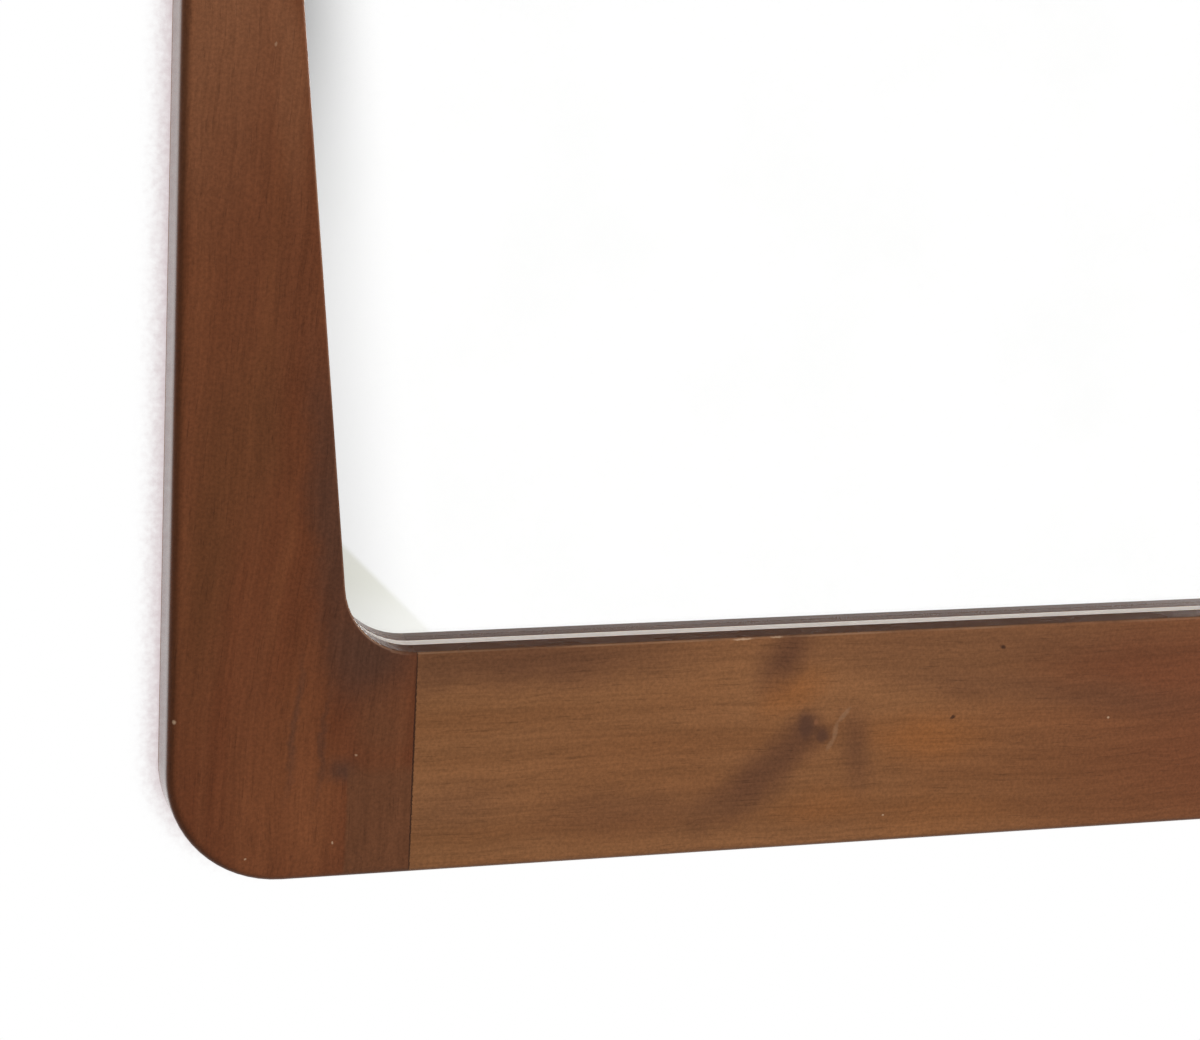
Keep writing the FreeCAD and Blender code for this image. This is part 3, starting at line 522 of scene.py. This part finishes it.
right_wood = wooden_board(
    "right_stile_wood", along="Z", lean=-4, tones=RED_BROWN, figure=RIGHT_STILE_FIGURE,
    nicks=RIGHT_STILE_NICKS, seed=3.7,
)
dress(left_wood, "left_stile")
dress(right_wood, "right_stile")

# %% [markdown]
# ## The rails
# The level boards took the stain more golden. The bottom rail has a knot with pale lines hooked round
# it, and a dusky band sweeps from it down to the left, where the grain turned round the branch. Further
# right the board is redder, and two small spots of pitch show.

# %% Rails
GOLDEN_BROWN = {"dark": rgb(117, 76, 46), "light": rgb(134, 90, 57), "cloud": rgb(125, 80, 48)}
RUSSET, SMOKY, GOLD = rgb(109, 63, 40), rgb(95, 61, 42), rgb(138, 86, 47)
KNOT, PITCH = rgb(82, 54, 41), rgb(46, 28, 22)

BOTTOM_RAIL_FIGURE = [
    (RUSSET, 0.95, (0.02, -0.32), (0.16, 0.11), 0),
    (RUSSET, 0.8, (-0.04, -0.298), (0.07, 0.022), 4),
    (SMOKY, 0.8, (-0.275, -0.284), (0.09, 0.017), 0),
    (SMOKY, 0.4, (-0.24, -0.342), (0.05, 0.014), 0),
    (SMOKY, 0.35, (-0.3, -0.336), (0.028, 0.015), 0),
    (SMOKY, 0.3, (-0.312, -0.287), (0.016, 0.014), 0),
    (SMOKY, 0.5, (-0.115, -0.284), (0.13, 0.021), 2),
    (GOLD, 0.3, (-0.12, -0.351), (0.045, 0.013), 0),
    (GOLD, 0.7, (-0.18, -0.301), (0.02, 0.013), -30),
    (GOLD, 0.85, (-0.127, -0.321), (0.034, 0.013), 4),
    (GOLD, 0.4, (-0.166, -0.344), (0.03, 0.01), 0),
    (SMOKY, 0.9, (-0.1834, -0.287), (0.0125, 0.022), 27),
    (SMOKY, 0.8, (-0.1795, -0.323), (0.02, 0.012), -48),
    (SMOKY, 0.8, (-0.1915, -0.3335), (0.022, 0.0145), -40),
    (SMOKY, 0.45, (-0.206, -0.343), (0.024, 0.012), -30),
    (SMOKY, 0.6, (-0.1545, -0.323), (0.01, 0.024), -10),
    (SMOKY, 0.5, (-0.055, -0.309), (0.055, 0.011), 7),
    (SMOKY, 0.45, (-0.11, -0.301), (0.06, 0.0105), 6),
    (SMOKY, 0.5, (-0.172, -0.316), (0.0115, 0.0125), 0),
    (KNOT, 0.6, (-0.1736, -0.314), (0.006, 0.0085), -8),
    (KNOT, 0.5, (-0.1675, -0.3175), (0.005, 0.005), 0),
]
BOTTOM_RAIL_NICKS = [
    (KNOT, 0.6, (-0.1738, -0.314), (0.0036, 0.0062), -6),
    (KNOT, 0.6, (-0.1674, -0.3178), (0.003, 0.0032), 0),
    (TAN_AND_PAINTED_LIGHT, 0.6, (-0.1701, -0.3125), (0.0011, 0.0017), 0),
    (BARE, 0.12, (-0.1596, -0.3103), (0.0013, 0.0046), 38),
    (BARE, 0.12, (-0.1625, -0.3163), (0.0013, 0.0046), 6),
    (BARE, 0.1, (-0.1641, -0.3211), (0.0013, 0.0034), 30),
    (PITCH, 0.8, (-0.1007, -0.2878), (0.0015, 0.001), 20),
    (PITCH, 0.8, (-0.1178, -0.3134), (0.0015, 0.001), -30),
    glue_line(LOWER_JOINT, LEFT),
    glue_line(LOWER_JOINT, RIGHT),
    (BARE, 0.6, (-0.0565, -0.3167), (0.0006, 0.0006), 0),
    (BARE, 0.6, (-0.1417, -0.3492), (0.0005, 0.0005), 0),
    (BARE, 0.7, (-0.1996, -0.2805), (0.005, 0.0004), 0),
    (BARE, 0.6, (-0.1872, -0.2803), (0.003, 0.0004), 0),
]
TOP_RAIL_FIGURE = [
    (RUSSET, 0.7, (-0.14, 0.1), (0.14, 0.05), 0),
    (GOLD, 0.6, (0.08, 0.092), (0.07, 0.01), 0),
    (SMOKY, 0.6, (0.2, 0.108), (0.05, 0.005), -6),
    (KNOT, 0.7, (0.151, 0.099), (0.004, 0.0035), 0),
]
TOP_RAIL_NICKS = [glue_line(UPPER_JOINT, LEFT), glue_line(UPPER_JOINT, RIGHT)]
bottom_wood = wooden_board(
    "bottom_rail_wood", along="X", lean=0, tones=GOLDEN_BROWN, figure=BOTTOM_RAIL_FIGURE,
    nicks=BOTTOM_RAIL_NICKS, seed=7.9,
)
top_wood = wooden_board(
    "top_rail_wood", along="X", lean=0, tones=GOLDEN_BROWN, figure=TOP_RAIL_FIGURE,
    nicks=TOP_RAIL_NICKS, seed=11.3,
)
dress(bottom_wood, "bottom_rail")
dress(top_wood, "top_rail")

# %% [markdown]
# ## Dowels
# Each corner is held by two beech dowels. They are inside the wood, so a plain colour would do for this
# picture. The frame may be taken apart later, though, so they get the pale, close-grained look of beech,
# with its short dark flecks.

# %% Dowels
BEECH_DARK, BEECH_LIGHT, FLECK = rgb(188, 148, 106), rgb(210, 174, 132), rgb(150, 106, 70)
BEECH_STEP, FLECK_STEP = (0.03, 0.002, 0.002), (0.004, 0.0006, 0.0006)
FLECK_SHARE, FLECK_RELIEF = (0.6, 0.7, 0.0, 0.6), 0.00005

beech, tree, shader, place = new_finish("dowel_beech", roughness=0.6, specular=0.3)
flecks = noise(tree, steps(tree, place, FLECK_STEP))
tone = blend(tree, noise(tree, steps(tree, place, BEECH_STEP)), BEECH_DARK, BEECH_LIGHT)
tone = blend(tree, between(tree, flecks, *FLECK_SHARE), tone, FLECK)
join(tree, shader.inputs["Base Color"], tone)
bump(tree, shader, flecks, FLECK_RELIEF)
dress(beech, "lower_left_dowels", "lower_right_dowels", "upper_left_dowels", "upper_right_dowels")

# %% [markdown]
# ## Glass and silver
# The plate is clear float glass with silver behind it, so light goes through the glass, turns round at
# the silver and comes out again. That is why a pale line shows between the frame's lip and its image: it
# is the white tape behind the lip, seen in the mirror. One plain metal sheet would lose that line, so the
# glass is real glass here, and the silver is a metal whose brightness wanders very slightly.

# %% Glass and silver
GLASS_IOR = 1.52
SILVER_CLEAN, SILVER_AGED = (1, 1, 0.998, 1), (0.985, 0.988, 0.982, 1)
AGEING_STEP, AGEING_DETAIL, AGEING_SHARE = 0.05, 4.0, (0.4, 0.75)

glass, tree, shader, place = new_finish("clear_glass", roughness=0.0, specular=0.5)
shader.inputs["IOR"].default_value = GLASS_IOR
shader.inputs["Transmission Weight"].default_value = 1.0
shader.inputs["Base Color"].default_value = WHITE
dress(glass, "mirror_glass")

silver, tree, shader, place = new_finish("silver", roughness=0.0, specular=0.5)
shader.inputs["Metallic"].default_value = 1.0
ageing = between(tree, speckle(tree, place, AGEING_STEP, AGEING_DETAIL), *AGEING_SHARE)
join(tree, shader.inputs["Base Color"], blend(tree, ageing, SILVER_CLEAN, SILVER_AGED))
dress(silver, "silver_coating")

# %% [markdown]
# ## Tape and cork
# White felt tape keeps the glass off the wood of the lip, and cork blocks centre the glass. Both are
# plain speckles with some relief. In a real room, light creeps in behind the lip and reaches the tape.
# Little of it gets there in a render, and a brighter lamp would bleach the wood, so the tape has a faint
# glow of its own.

# %% Tape and cork
FELT_DARK, FELT_LIGHT = rgb(236, 230, 220), rgb(250, 246, 240)
FELT_STEP, FELT_RELIEF = 0.0011, 0.00005
FELT_GLOW, GLOW_STRENGTH = rgb(255, 244, 236), 0.4
CORK_DARK, CORK_LIGHT = rgb(96, 66, 40), rgb(176, 134, 90)
CRUMB_STEP, CRUMB_DETAIL, CRUMB_ROUGHNESS = 0.0014, 4.0, 0.7
CRUMB_SHARE, CRUMB_RELIEF = (0.35, 0.65), 0.0002

tape, tree, shader, place = new_finish("white_tape", roughness=0.85, specular=0.2)
felt = speckle(tree, place, FELT_STEP)
join(tree, shader.inputs["Base Color"], blend(tree, felt, FELT_DARK, FELT_LIGHT))
bump(tree, shader, felt, FELT_RELIEF)
shader.inputs["Emission Color"].default_value = FELT_GLOW
shader.inputs["Emission Strength"].default_value = GLOW_STRENGTH
dress(tape, "glazing_tape")

cork, tree, shader, place = new_finish("cork", roughness=0.9, specular=0.1)
crumbs = speckle(tree, place, CRUMB_STEP, CRUMB_DETAIL, CRUMB_ROUGHNESS)
tone = blend(tree, between(tree, crumbs, *CRUMB_SHARE), CORK_DARK, CORK_LIGHT)
join(tree, shader.inputs["Base Color"], tone)
bump(tree, shader, crumbs, CRUMB_RELIEF)
dress(cork, "setting_blocks", "left_edge_spacers", "right_edge_spacers")

# %% [markdown]
# ## Hardboard
# A hardboard sheet closes the back. Its rough side carries the print of the wire mesh that it was
# pressed on. The mesh could be modelled wire by wire, but it is far too fine for that, so the print is
# two rows of waves that cross.

# %% Hardboard
HARDBOARD_DARK, HARDBOARD_LIGHT = rgb(112, 79, 52), rgb(150, 112, 78)
BLOTCH, MESH_PRINT = rgb(98, 69, 46), rgb(84, 58, 38)
FLUFF_STEP, FLUFF_DETAIL, FLUFF_ROUGHNESS = 0.004, 5.0, 0.7
FLUFF_SHARE, FLUFF_GLOSS = (0.3, 0.7), (0.3, 0.7, 0.7, 0.9)
BLOTCH_STEP, BLOTCH_SHARE = 0.14, (0.4, 0.7, 0.0, 0.3)
MESH_PITCH, MESH_WOBBLE, MESH_SHARE, MESH_RELIEF = 0.0018, 0.6, 0.35, 0.0003
WAVES_PER_UNIT = 20 / (2 * math.pi)


def mesh_waves(tree, place, direction):
    """Waves across one direction at the pitch of the wire mesh."""
    node = tree.nodes.new("ShaderNodeTexWave")
    node.bands_direction = direction
    join(tree, node.inputs["Vector"], place)
    node.inputs["Scale"].default_value = 1 / (MESH_PITCH * WAVES_PER_UNIT)
    node.inputs["Distortion"].default_value = MESH_WOBBLE
    return node.outputs["Fac"]


hardboard, tree, shader, place = new_finish("hardboard", roughness=0.8, specular=0.2)
fluff = speckle(tree, place, FLUFF_STEP, FLUFF_DETAIL, FLUFF_ROUGHNESS)
blotches = between(tree, speckle(tree, place, BLOTCH_STEP), *BLOTCH_SHARE)
weave = times(tree, mesh_waves(tree, place, "X"), mesh_waves(tree, place, "Z"))
tone = blend(tree, between(tree, fluff, *FLUFF_SHARE), HARDBOARD_DARK, HARDBOARD_LIGHT)
tone = blend(tree, blotches, tone, BLOTCH)
tone = blend(tree, times(tree, weave, MESH_SHARE), tone, MESH_PRINT)
join(tree, shader.inputs["Base Color"], tone)
join(tree, shader.inputs["Roughness"], between(tree, fluff, *FLUFF_GLOSS))
bump(tree, shader, sums(tree, "SUBTRACT", fluff, weave), MESH_RELIEF)
dress(hardboard, "backing_board")

# %% [markdown]
# ## Metal
# The hangers and their screws are plated steel that has dulled with age, and the sprigs are plain wire
# with some rust. Colour and gloss could each have a noise of their own. But tarnish and rust change both
# at the same places, so one noise drives the two. Fine scratches run along the plated steel.

# %% Metal
STEEL_BRIGHT, STEEL_DULL = rgb(176, 174, 168), rgb(112, 104, 92)
TARNISH_STEP, TARNISH_DETAIL, TARNISH_ROUGHNESS = 0.004, 5.0, 0.65
TARNISH_SHARE, TARNISH_GLOSS = (0.35, 0.7), (0.3, 0.75, 0.22, 0.5)
SCRATCH_STEP, SCRATCH_LEAN, SCRATCH_RELIEF = (0.0003, 0.0003, 0.008), 12, 0.00002
WIRE_BRIGHT, RUST = rgb(160, 156, 150), rgb(112, 74, 48)
RUST_STEP, RUST_DETAIL, RUST_ROUGHNESS = 0.002, 4.0, 0.7
RUST_SHARE, RUST_GLOSS = (0.5, 0.7), (0.45, 0.7, 0.35, 0.8)
HANGER_PIECES = [
    f"{side}_hanger_{part}" for side in ("left", "right") for part in ("strap", "ring", "screws")
]

plated, tree, shader, place = new_finish("plated_steel", roughness=0.32, specular=0.5)
shader.inputs["Metallic"].default_value = 1.0
tarnish = speckle(tree, place, TARNISH_STEP, TARNISH_DETAIL, TARNISH_ROUGHNESS)
tone = blend(tree, between(tree, tarnish, *TARNISH_SHARE), STEEL_BRIGHT, STEEL_DULL)
join(tree, shader.inputs["Base Color"], tone)
join(tree, shader.inputs["Roughness"], between(tree, tarnish, *TARNISH_GLOSS))
bump(tree, shader, noise(tree, steps(tree, place, SCRATCH_STEP, SCRATCH_LEAN)), SCRATCH_RELIEF)
dress(plated, *HANGER_PIECES)

wire, tree, shader, place = new_finish("steel_wire", roughness=0.4, specular=0.5)
shader.inputs["Metallic"].default_value = 1.0
rust = speckle(tree, place, RUST_STEP, RUST_DETAIL, RUST_ROUGHNESS)
join(tree, shader.inputs["Base Color"], blend(tree, between(tree, rust, *RUST_SHARE), WIRE_BRIGHT, RUST))
join(tree, shader.inputs["Roughness"], between(tree, rust, *RUST_GLOSS))
dress(wire, "sprigs")

# %% [markdown]
# ## Rubber
# The bumpers are dark rubber with a pale bloom, as rubber gets with age. A plain black would look like
# plastic, so the bloom is drawn as a noise that is paler and duller, and the pads have a fine relief.

# %% Rubber
RUBBER_DARK, RUBBER_BLOOM = rgb(34, 32, 31), rgb(66, 62, 58)
BLOOM_STEP, BLOOM_DETAIL, BLOOM_GLOSS = 0.0025, 4.0, (0.3, 0.7, 0.55, 0.8)
RUBBER_STEP, RUBBER_RELIEF = 0.0004, 0.00004

rubber, tree, shader, place = new_finish("bumper_rubber", roughness=0.7, specular=0.3)
bloom = speckle(tree, place, BLOOM_STEP, BLOOM_DETAIL)
join(tree, shader.inputs["Base Color"], blend(tree, bloom, RUBBER_DARK, RUBBER_BLOOM))
join(tree, shader.inputs["Roughness"], between(tree, bloom, *BLOOM_GLOSS))
bump(tree, shader, speckle(tree, place, RUBBER_STEP), RUBBER_RELIEF)
dress(rubber, "left_bumper", "right_bumper")

# %% [markdown]
# ## The wall
# The mirror hangs on a white plastered wall. A full sheet would shade the back of the frame, so the wall
# has a hole behind the mirror, a little smaller than the frame. The sheet is cut along four lines, and
# the face in the middle is deleted. Only the camera and shiny surfaces see the wall.

# %% Wall
WALL_SIZE = 6.0
HOLE_INSET, HOLE_HEAD_INSET = 0.04, 0.035
hole_side = cad_high[0] - HOLE_INSET
hole_foot, hole_head = cad_low[2] + HOLE_INSET, cad_high[2] - HOLE_HEAD_INSET

bpy.ops.object.select_all(action="DESELECT")
bpy.ops.mesh.primitive_plane_add(size=WALL_SIZE, rotation=(math.pi / 2, 0, 0))
bpy.ops.object.transform_apply(rotation=True)
wall = bpy.context.object
wall.name = "wall"
bpy.ops.object.mode_set(mode="EDIT")
for line, across in (((-hole_side, 0, 0), (1, 0, 0)), ((hole_side, 0, 0), (1, 0, 0)),
                     ((0, 0, hole_foot), (0, 0, 1)), ((0, 0, hole_head), (0, 0, 1))):
    bpy.ops.mesh.select_all(action="SELECT")
    bpy.ops.mesh.bisect(plane_co=line, plane_no=across)
bpy.ops.mesh.select_all(action="DESELECT")
bpy.ops.object.mode_set(mode="OBJECT")
for face in wall.data.polygons:
    face.select = abs(face.center.x) < hole_side and hole_foot < face.center.z < hole_head
bpy.ops.object.mode_set(mode="EDIT")
bpy.ops.mesh.delete(type="FACE")
bpy.ops.object.mode_set(mode="OBJECT")
for kind in ("diffuse", "transmission", "shadow"):
    setattr(wall, f"visible_{kind}", False)
print(f"Wall of {len(wall.data.polygons)} faces, {WALL_SIZE:.0f} m wide")

# %% [markdown]
# ## Plaster
# The plaster is white and glows by itself, so it stays white under any lamp. A glowing wall can't take a
# shadow. The soft shade beside the frame comes from an Ambient Occlusion node instead, which tells how
# open a place near the frame is, and a fine noise breaks that shade up as the relief of plaster does.
# Seen from behind, the wall is clear, so that the back of the mirror can be looked at.

# %% Plaster
WALL_SHADE = rgb(208, 193, 196)
CORNER_REACH, CORNER_DIM, CORNER_CLEAR = 0.012, 0.4, 0.95
RELIEF_STEP, RELIEF_SHARE = 0.0024, 0.35

plaster, tree, shader, place = new_finish("white_plaster", roughness=0.9, specular=0.0)
shader.inputs["Base Color"].default_value = BLACK
corner = tree.nodes.new("ShaderNodeAmbientOcclusion")
corner.inputs["Distance"].default_value = CORNER_REACH
relief = sums(tree, "SUBTRACT", speckle(tree, place, RELIEF_STEP), NOISE_MIDDLE)
openness = sums(tree, "ADD", corner.outputs["AO"], times(tree, relief, RELIEF_SHARE))
lit = between(tree, openness, CORNER_DIM, CORNER_CLEAR)
join(tree, shader.inputs["Emission Color"], blend(tree, lit, WALL_SHADE, WHITE))
shader.inputs["Emission Strength"].default_value = 1.0
clear = tree.nodes.new("ShaderNodeBsdfTransparent")
two_sided = tree.nodes.new("ShaderNodeMixShader")
tree.links.new(tree.nodes.new("ShaderNodeNewGeometry").outputs["Backfacing"], two_sided.inputs[0])
tree.links.new(shader.outputs[0], two_sided.inputs[1])
tree.links.new(clear.outputs[0], two_sided.inputs[2])
tree.links.new(two_sided.outputs[0], tree.nodes["Material Output"].inputs["Surface"])
wall.data.materials.append(plaster)
print(f"Shade within {CORNER_REACH * 1000:.0f} mm of the frame")

# %% [markdown]
# ## The floor
# A plain pale floor lies well below the picture. Seen straight, it is white. The mirror looks down on
# it, so it is what shows in the glass, and there it has two soft tones. It is greyer to the left of a
# straight edge that slants a little. It is also dimmer in a fan, which starts from a point behind the
# wall, so that in the mirror the edge of the fan runs along the leaning stile. Shadows could give such
# tones, but they would fall on the frame too, so the floor glows with the tones by itself.

# %% Floor
FLOOR_LEVEL, FLOOR_SIZE = -1.3, 30.0
FLOOR_BASE, FLOOR_GREY = (0.02, 0.02, 0.02, 1), (0.82, 0.82, 0.75, 1)
# A range in X, of the distance from the wall or of a slope, and what it gives at the two ends.
EDGE_ACROSS, EDGE_AWAY, EDGE_LEAN = (0.699, 0.713, 1.0, 0.0), (3.05, 3.3, 0.5, 1.0), 0.0625
FAN_SLOPE, FAN_AWAY = (0.2, 0.236, 1.0, 0.0), (4.5, 9.5, 0.24, 0.7)
FAN_START, FAN_BEHIND = -0.455, 1.05

bpy.ops.mesh.primitive_plane_add(size=FLOOR_SIZE, location=(0, 0, FLOOR_LEVEL))
floor = bpy.context.object
floor.name = "floor"
bpy.ops.object.transform_apply(location=True)
for kind in ("diffuse", "shadow"):
    setattr(floor, f"visible_{kind}", False)

pale, tree, shader, place = new_finish("pale_floor", roughness=0.9, specular=0.0)
x, y, _ = parts_of(tree, place)
away = sums(tree, "MULTIPLY", y, -1.0)
slanted = sums(tree, "MULTIPLY_ADD", away, EDGE_LEAN, x)
greyed = times(tree, between(tree, slanted, *EDGE_ACROSS), between(tree, away, *EDGE_AWAY))
beside = sums(tree, "SUBTRACT", x, FAN_START)
slope = sums(tree, "DIVIDE", beside, sums(tree, "ADD", away, FAN_BEHIND))
fan = times(tree, between(tree, slope, *FAN_SLOPE), between(tree, away, *FAN_AWAY))
tone = blend(tree, fan, blend(tree, greyed, WHITE, FLOOR_GREY), BLACK)
seen_straight = tree.nodes.new("ShaderNodeLightPath").outputs["Is Camera Ray"]
shader.inputs["Base Color"].default_value = FLOOR_BASE
join(tree, shader.inputs["Emission Color"], blend(tree, seen_straight, tone, WHITE))
shader.inputs["Emission Strength"].default_value = 1.0
floor.data.materials.append(pale)
print(f"Floor {-FLOOR_LEVEL:.1f} m below the hooks")

# %% [markdown]
# ## The world
# A white world fills in the light from all sides. One even world would be simpler, but if it is bright
# enough for a white background, it bleaches the wood. So this one looks different to each kind of ray.
# The camera sees plain white, and so do shiny surfaces. What is seen by way of the glass has a dim band
# above eye level, as a room has, which keeps the lip of the frame dark. All other rays get half as much.

# %% World
AMBIENT = 0.5
# A range of height in the direction of a ray, and the share of the band at the two ends.
BAND_FOOT, BAND_HEAD = (0.12, 0.2, 0.0, 1.0), (0.4, 0.5, 1.0, 0.0)
BAND_DIM = (0.08, 0.08, 0.08, 1)

world = bpy.data.worlds.new("studio")
world.use_nodes = True
bpy.context.scene.world = world
tree = world.node_tree
ambient = tree.nodes["Background"]
ambient.inputs["Strength"].default_value = AMBIENT
ambient.inputs["Color"].default_value = WHITE
backdrop = tree.nodes.new("ShaderNodeBackground")
backdrop.inputs["Color"].default_value = WHITE
room = tree.nodes.new("ShaderNodeBackground")
height = parts_of(tree, tree.nodes.new("ShaderNodeTexCoord").outputs["Generated"])[2]
band = times(tree, between(tree, height, *BAND_FOOT), between(tree, height, *BAND_HEAD))
path = tree.nodes.new("ShaderNodeLightPath")
seen_in_glass = times(tree, band, path.outputs["Is Transmission Ray"])
join(tree, room.inputs["Color"], blend(tree, seen_in_glass, WHITE, BAND_DIM))
polished = sums(tree, "MAXIMUM", path.outputs["Is Glossy Ray"], path.outputs["Is Transmission Ray"])
for_surfaces = tree.nodes.new("ShaderNodeMixShader")
join(tree, for_surfaces.inputs[0], polished)
tree.links.new(ambient.outputs[0], for_surfaces.inputs[1])
tree.links.new(room.outputs[0], for_surfaces.inputs[2])
for_all = tree.nodes.new("ShaderNodeMixShader")
join(tree, for_all.inputs[0], path.outputs["Is Camera Ray"])
tree.links.new(for_surfaces.outputs[0], for_all.inputs[1])
tree.links.new(backdrop.outputs[0], for_all.inputs[2])
tree.links.new(for_all.outputs[0], tree.nodes["World Output"].inputs["Surface"])
print(f"World of strength {AMBIENT}")

# %% [markdown]
# ## The lamps
# A large soft lamp on the right models the frame, and a weaker one lights the back. Spot lamps would
# draw hard shadows, so both are square area lamps. The Standard view transform shows a colour about as
# it is written.

# %% Lamps
KEY_LAMP = {"place": (1.7, -1.6, 0.15), "target": (-0.1, 0, -0.15), "power": 50.0, "size": 1.3}
BACK_LAMP = {"place": (1.1, 2.2, 0.8), "target": (0, 0, -0.1), "power": 30.0, "size": 1.4}


def soft_lamp(name, place, target, power, size):
    """A square lamp that points at a target."""
    bpy.ops.object.light_add(type="AREA", location=place)
    lamp = bpy.context.object
    lamp.name = name
    lamp.data.energy = power
    lamp.data.size = size
    lamp.rotation_euler = (Vector(target) - Vector(place)).to_track_quat("-Z", "Y").to_euler()
    print(f"{name} of {power:.0f} W")


soft_lamp("key_lamp", **KEY_LAMP)
soft_lamp("back_lamp", **BACK_LAMP)
bpy.context.scene.view_settings.view_transform = "Standard"
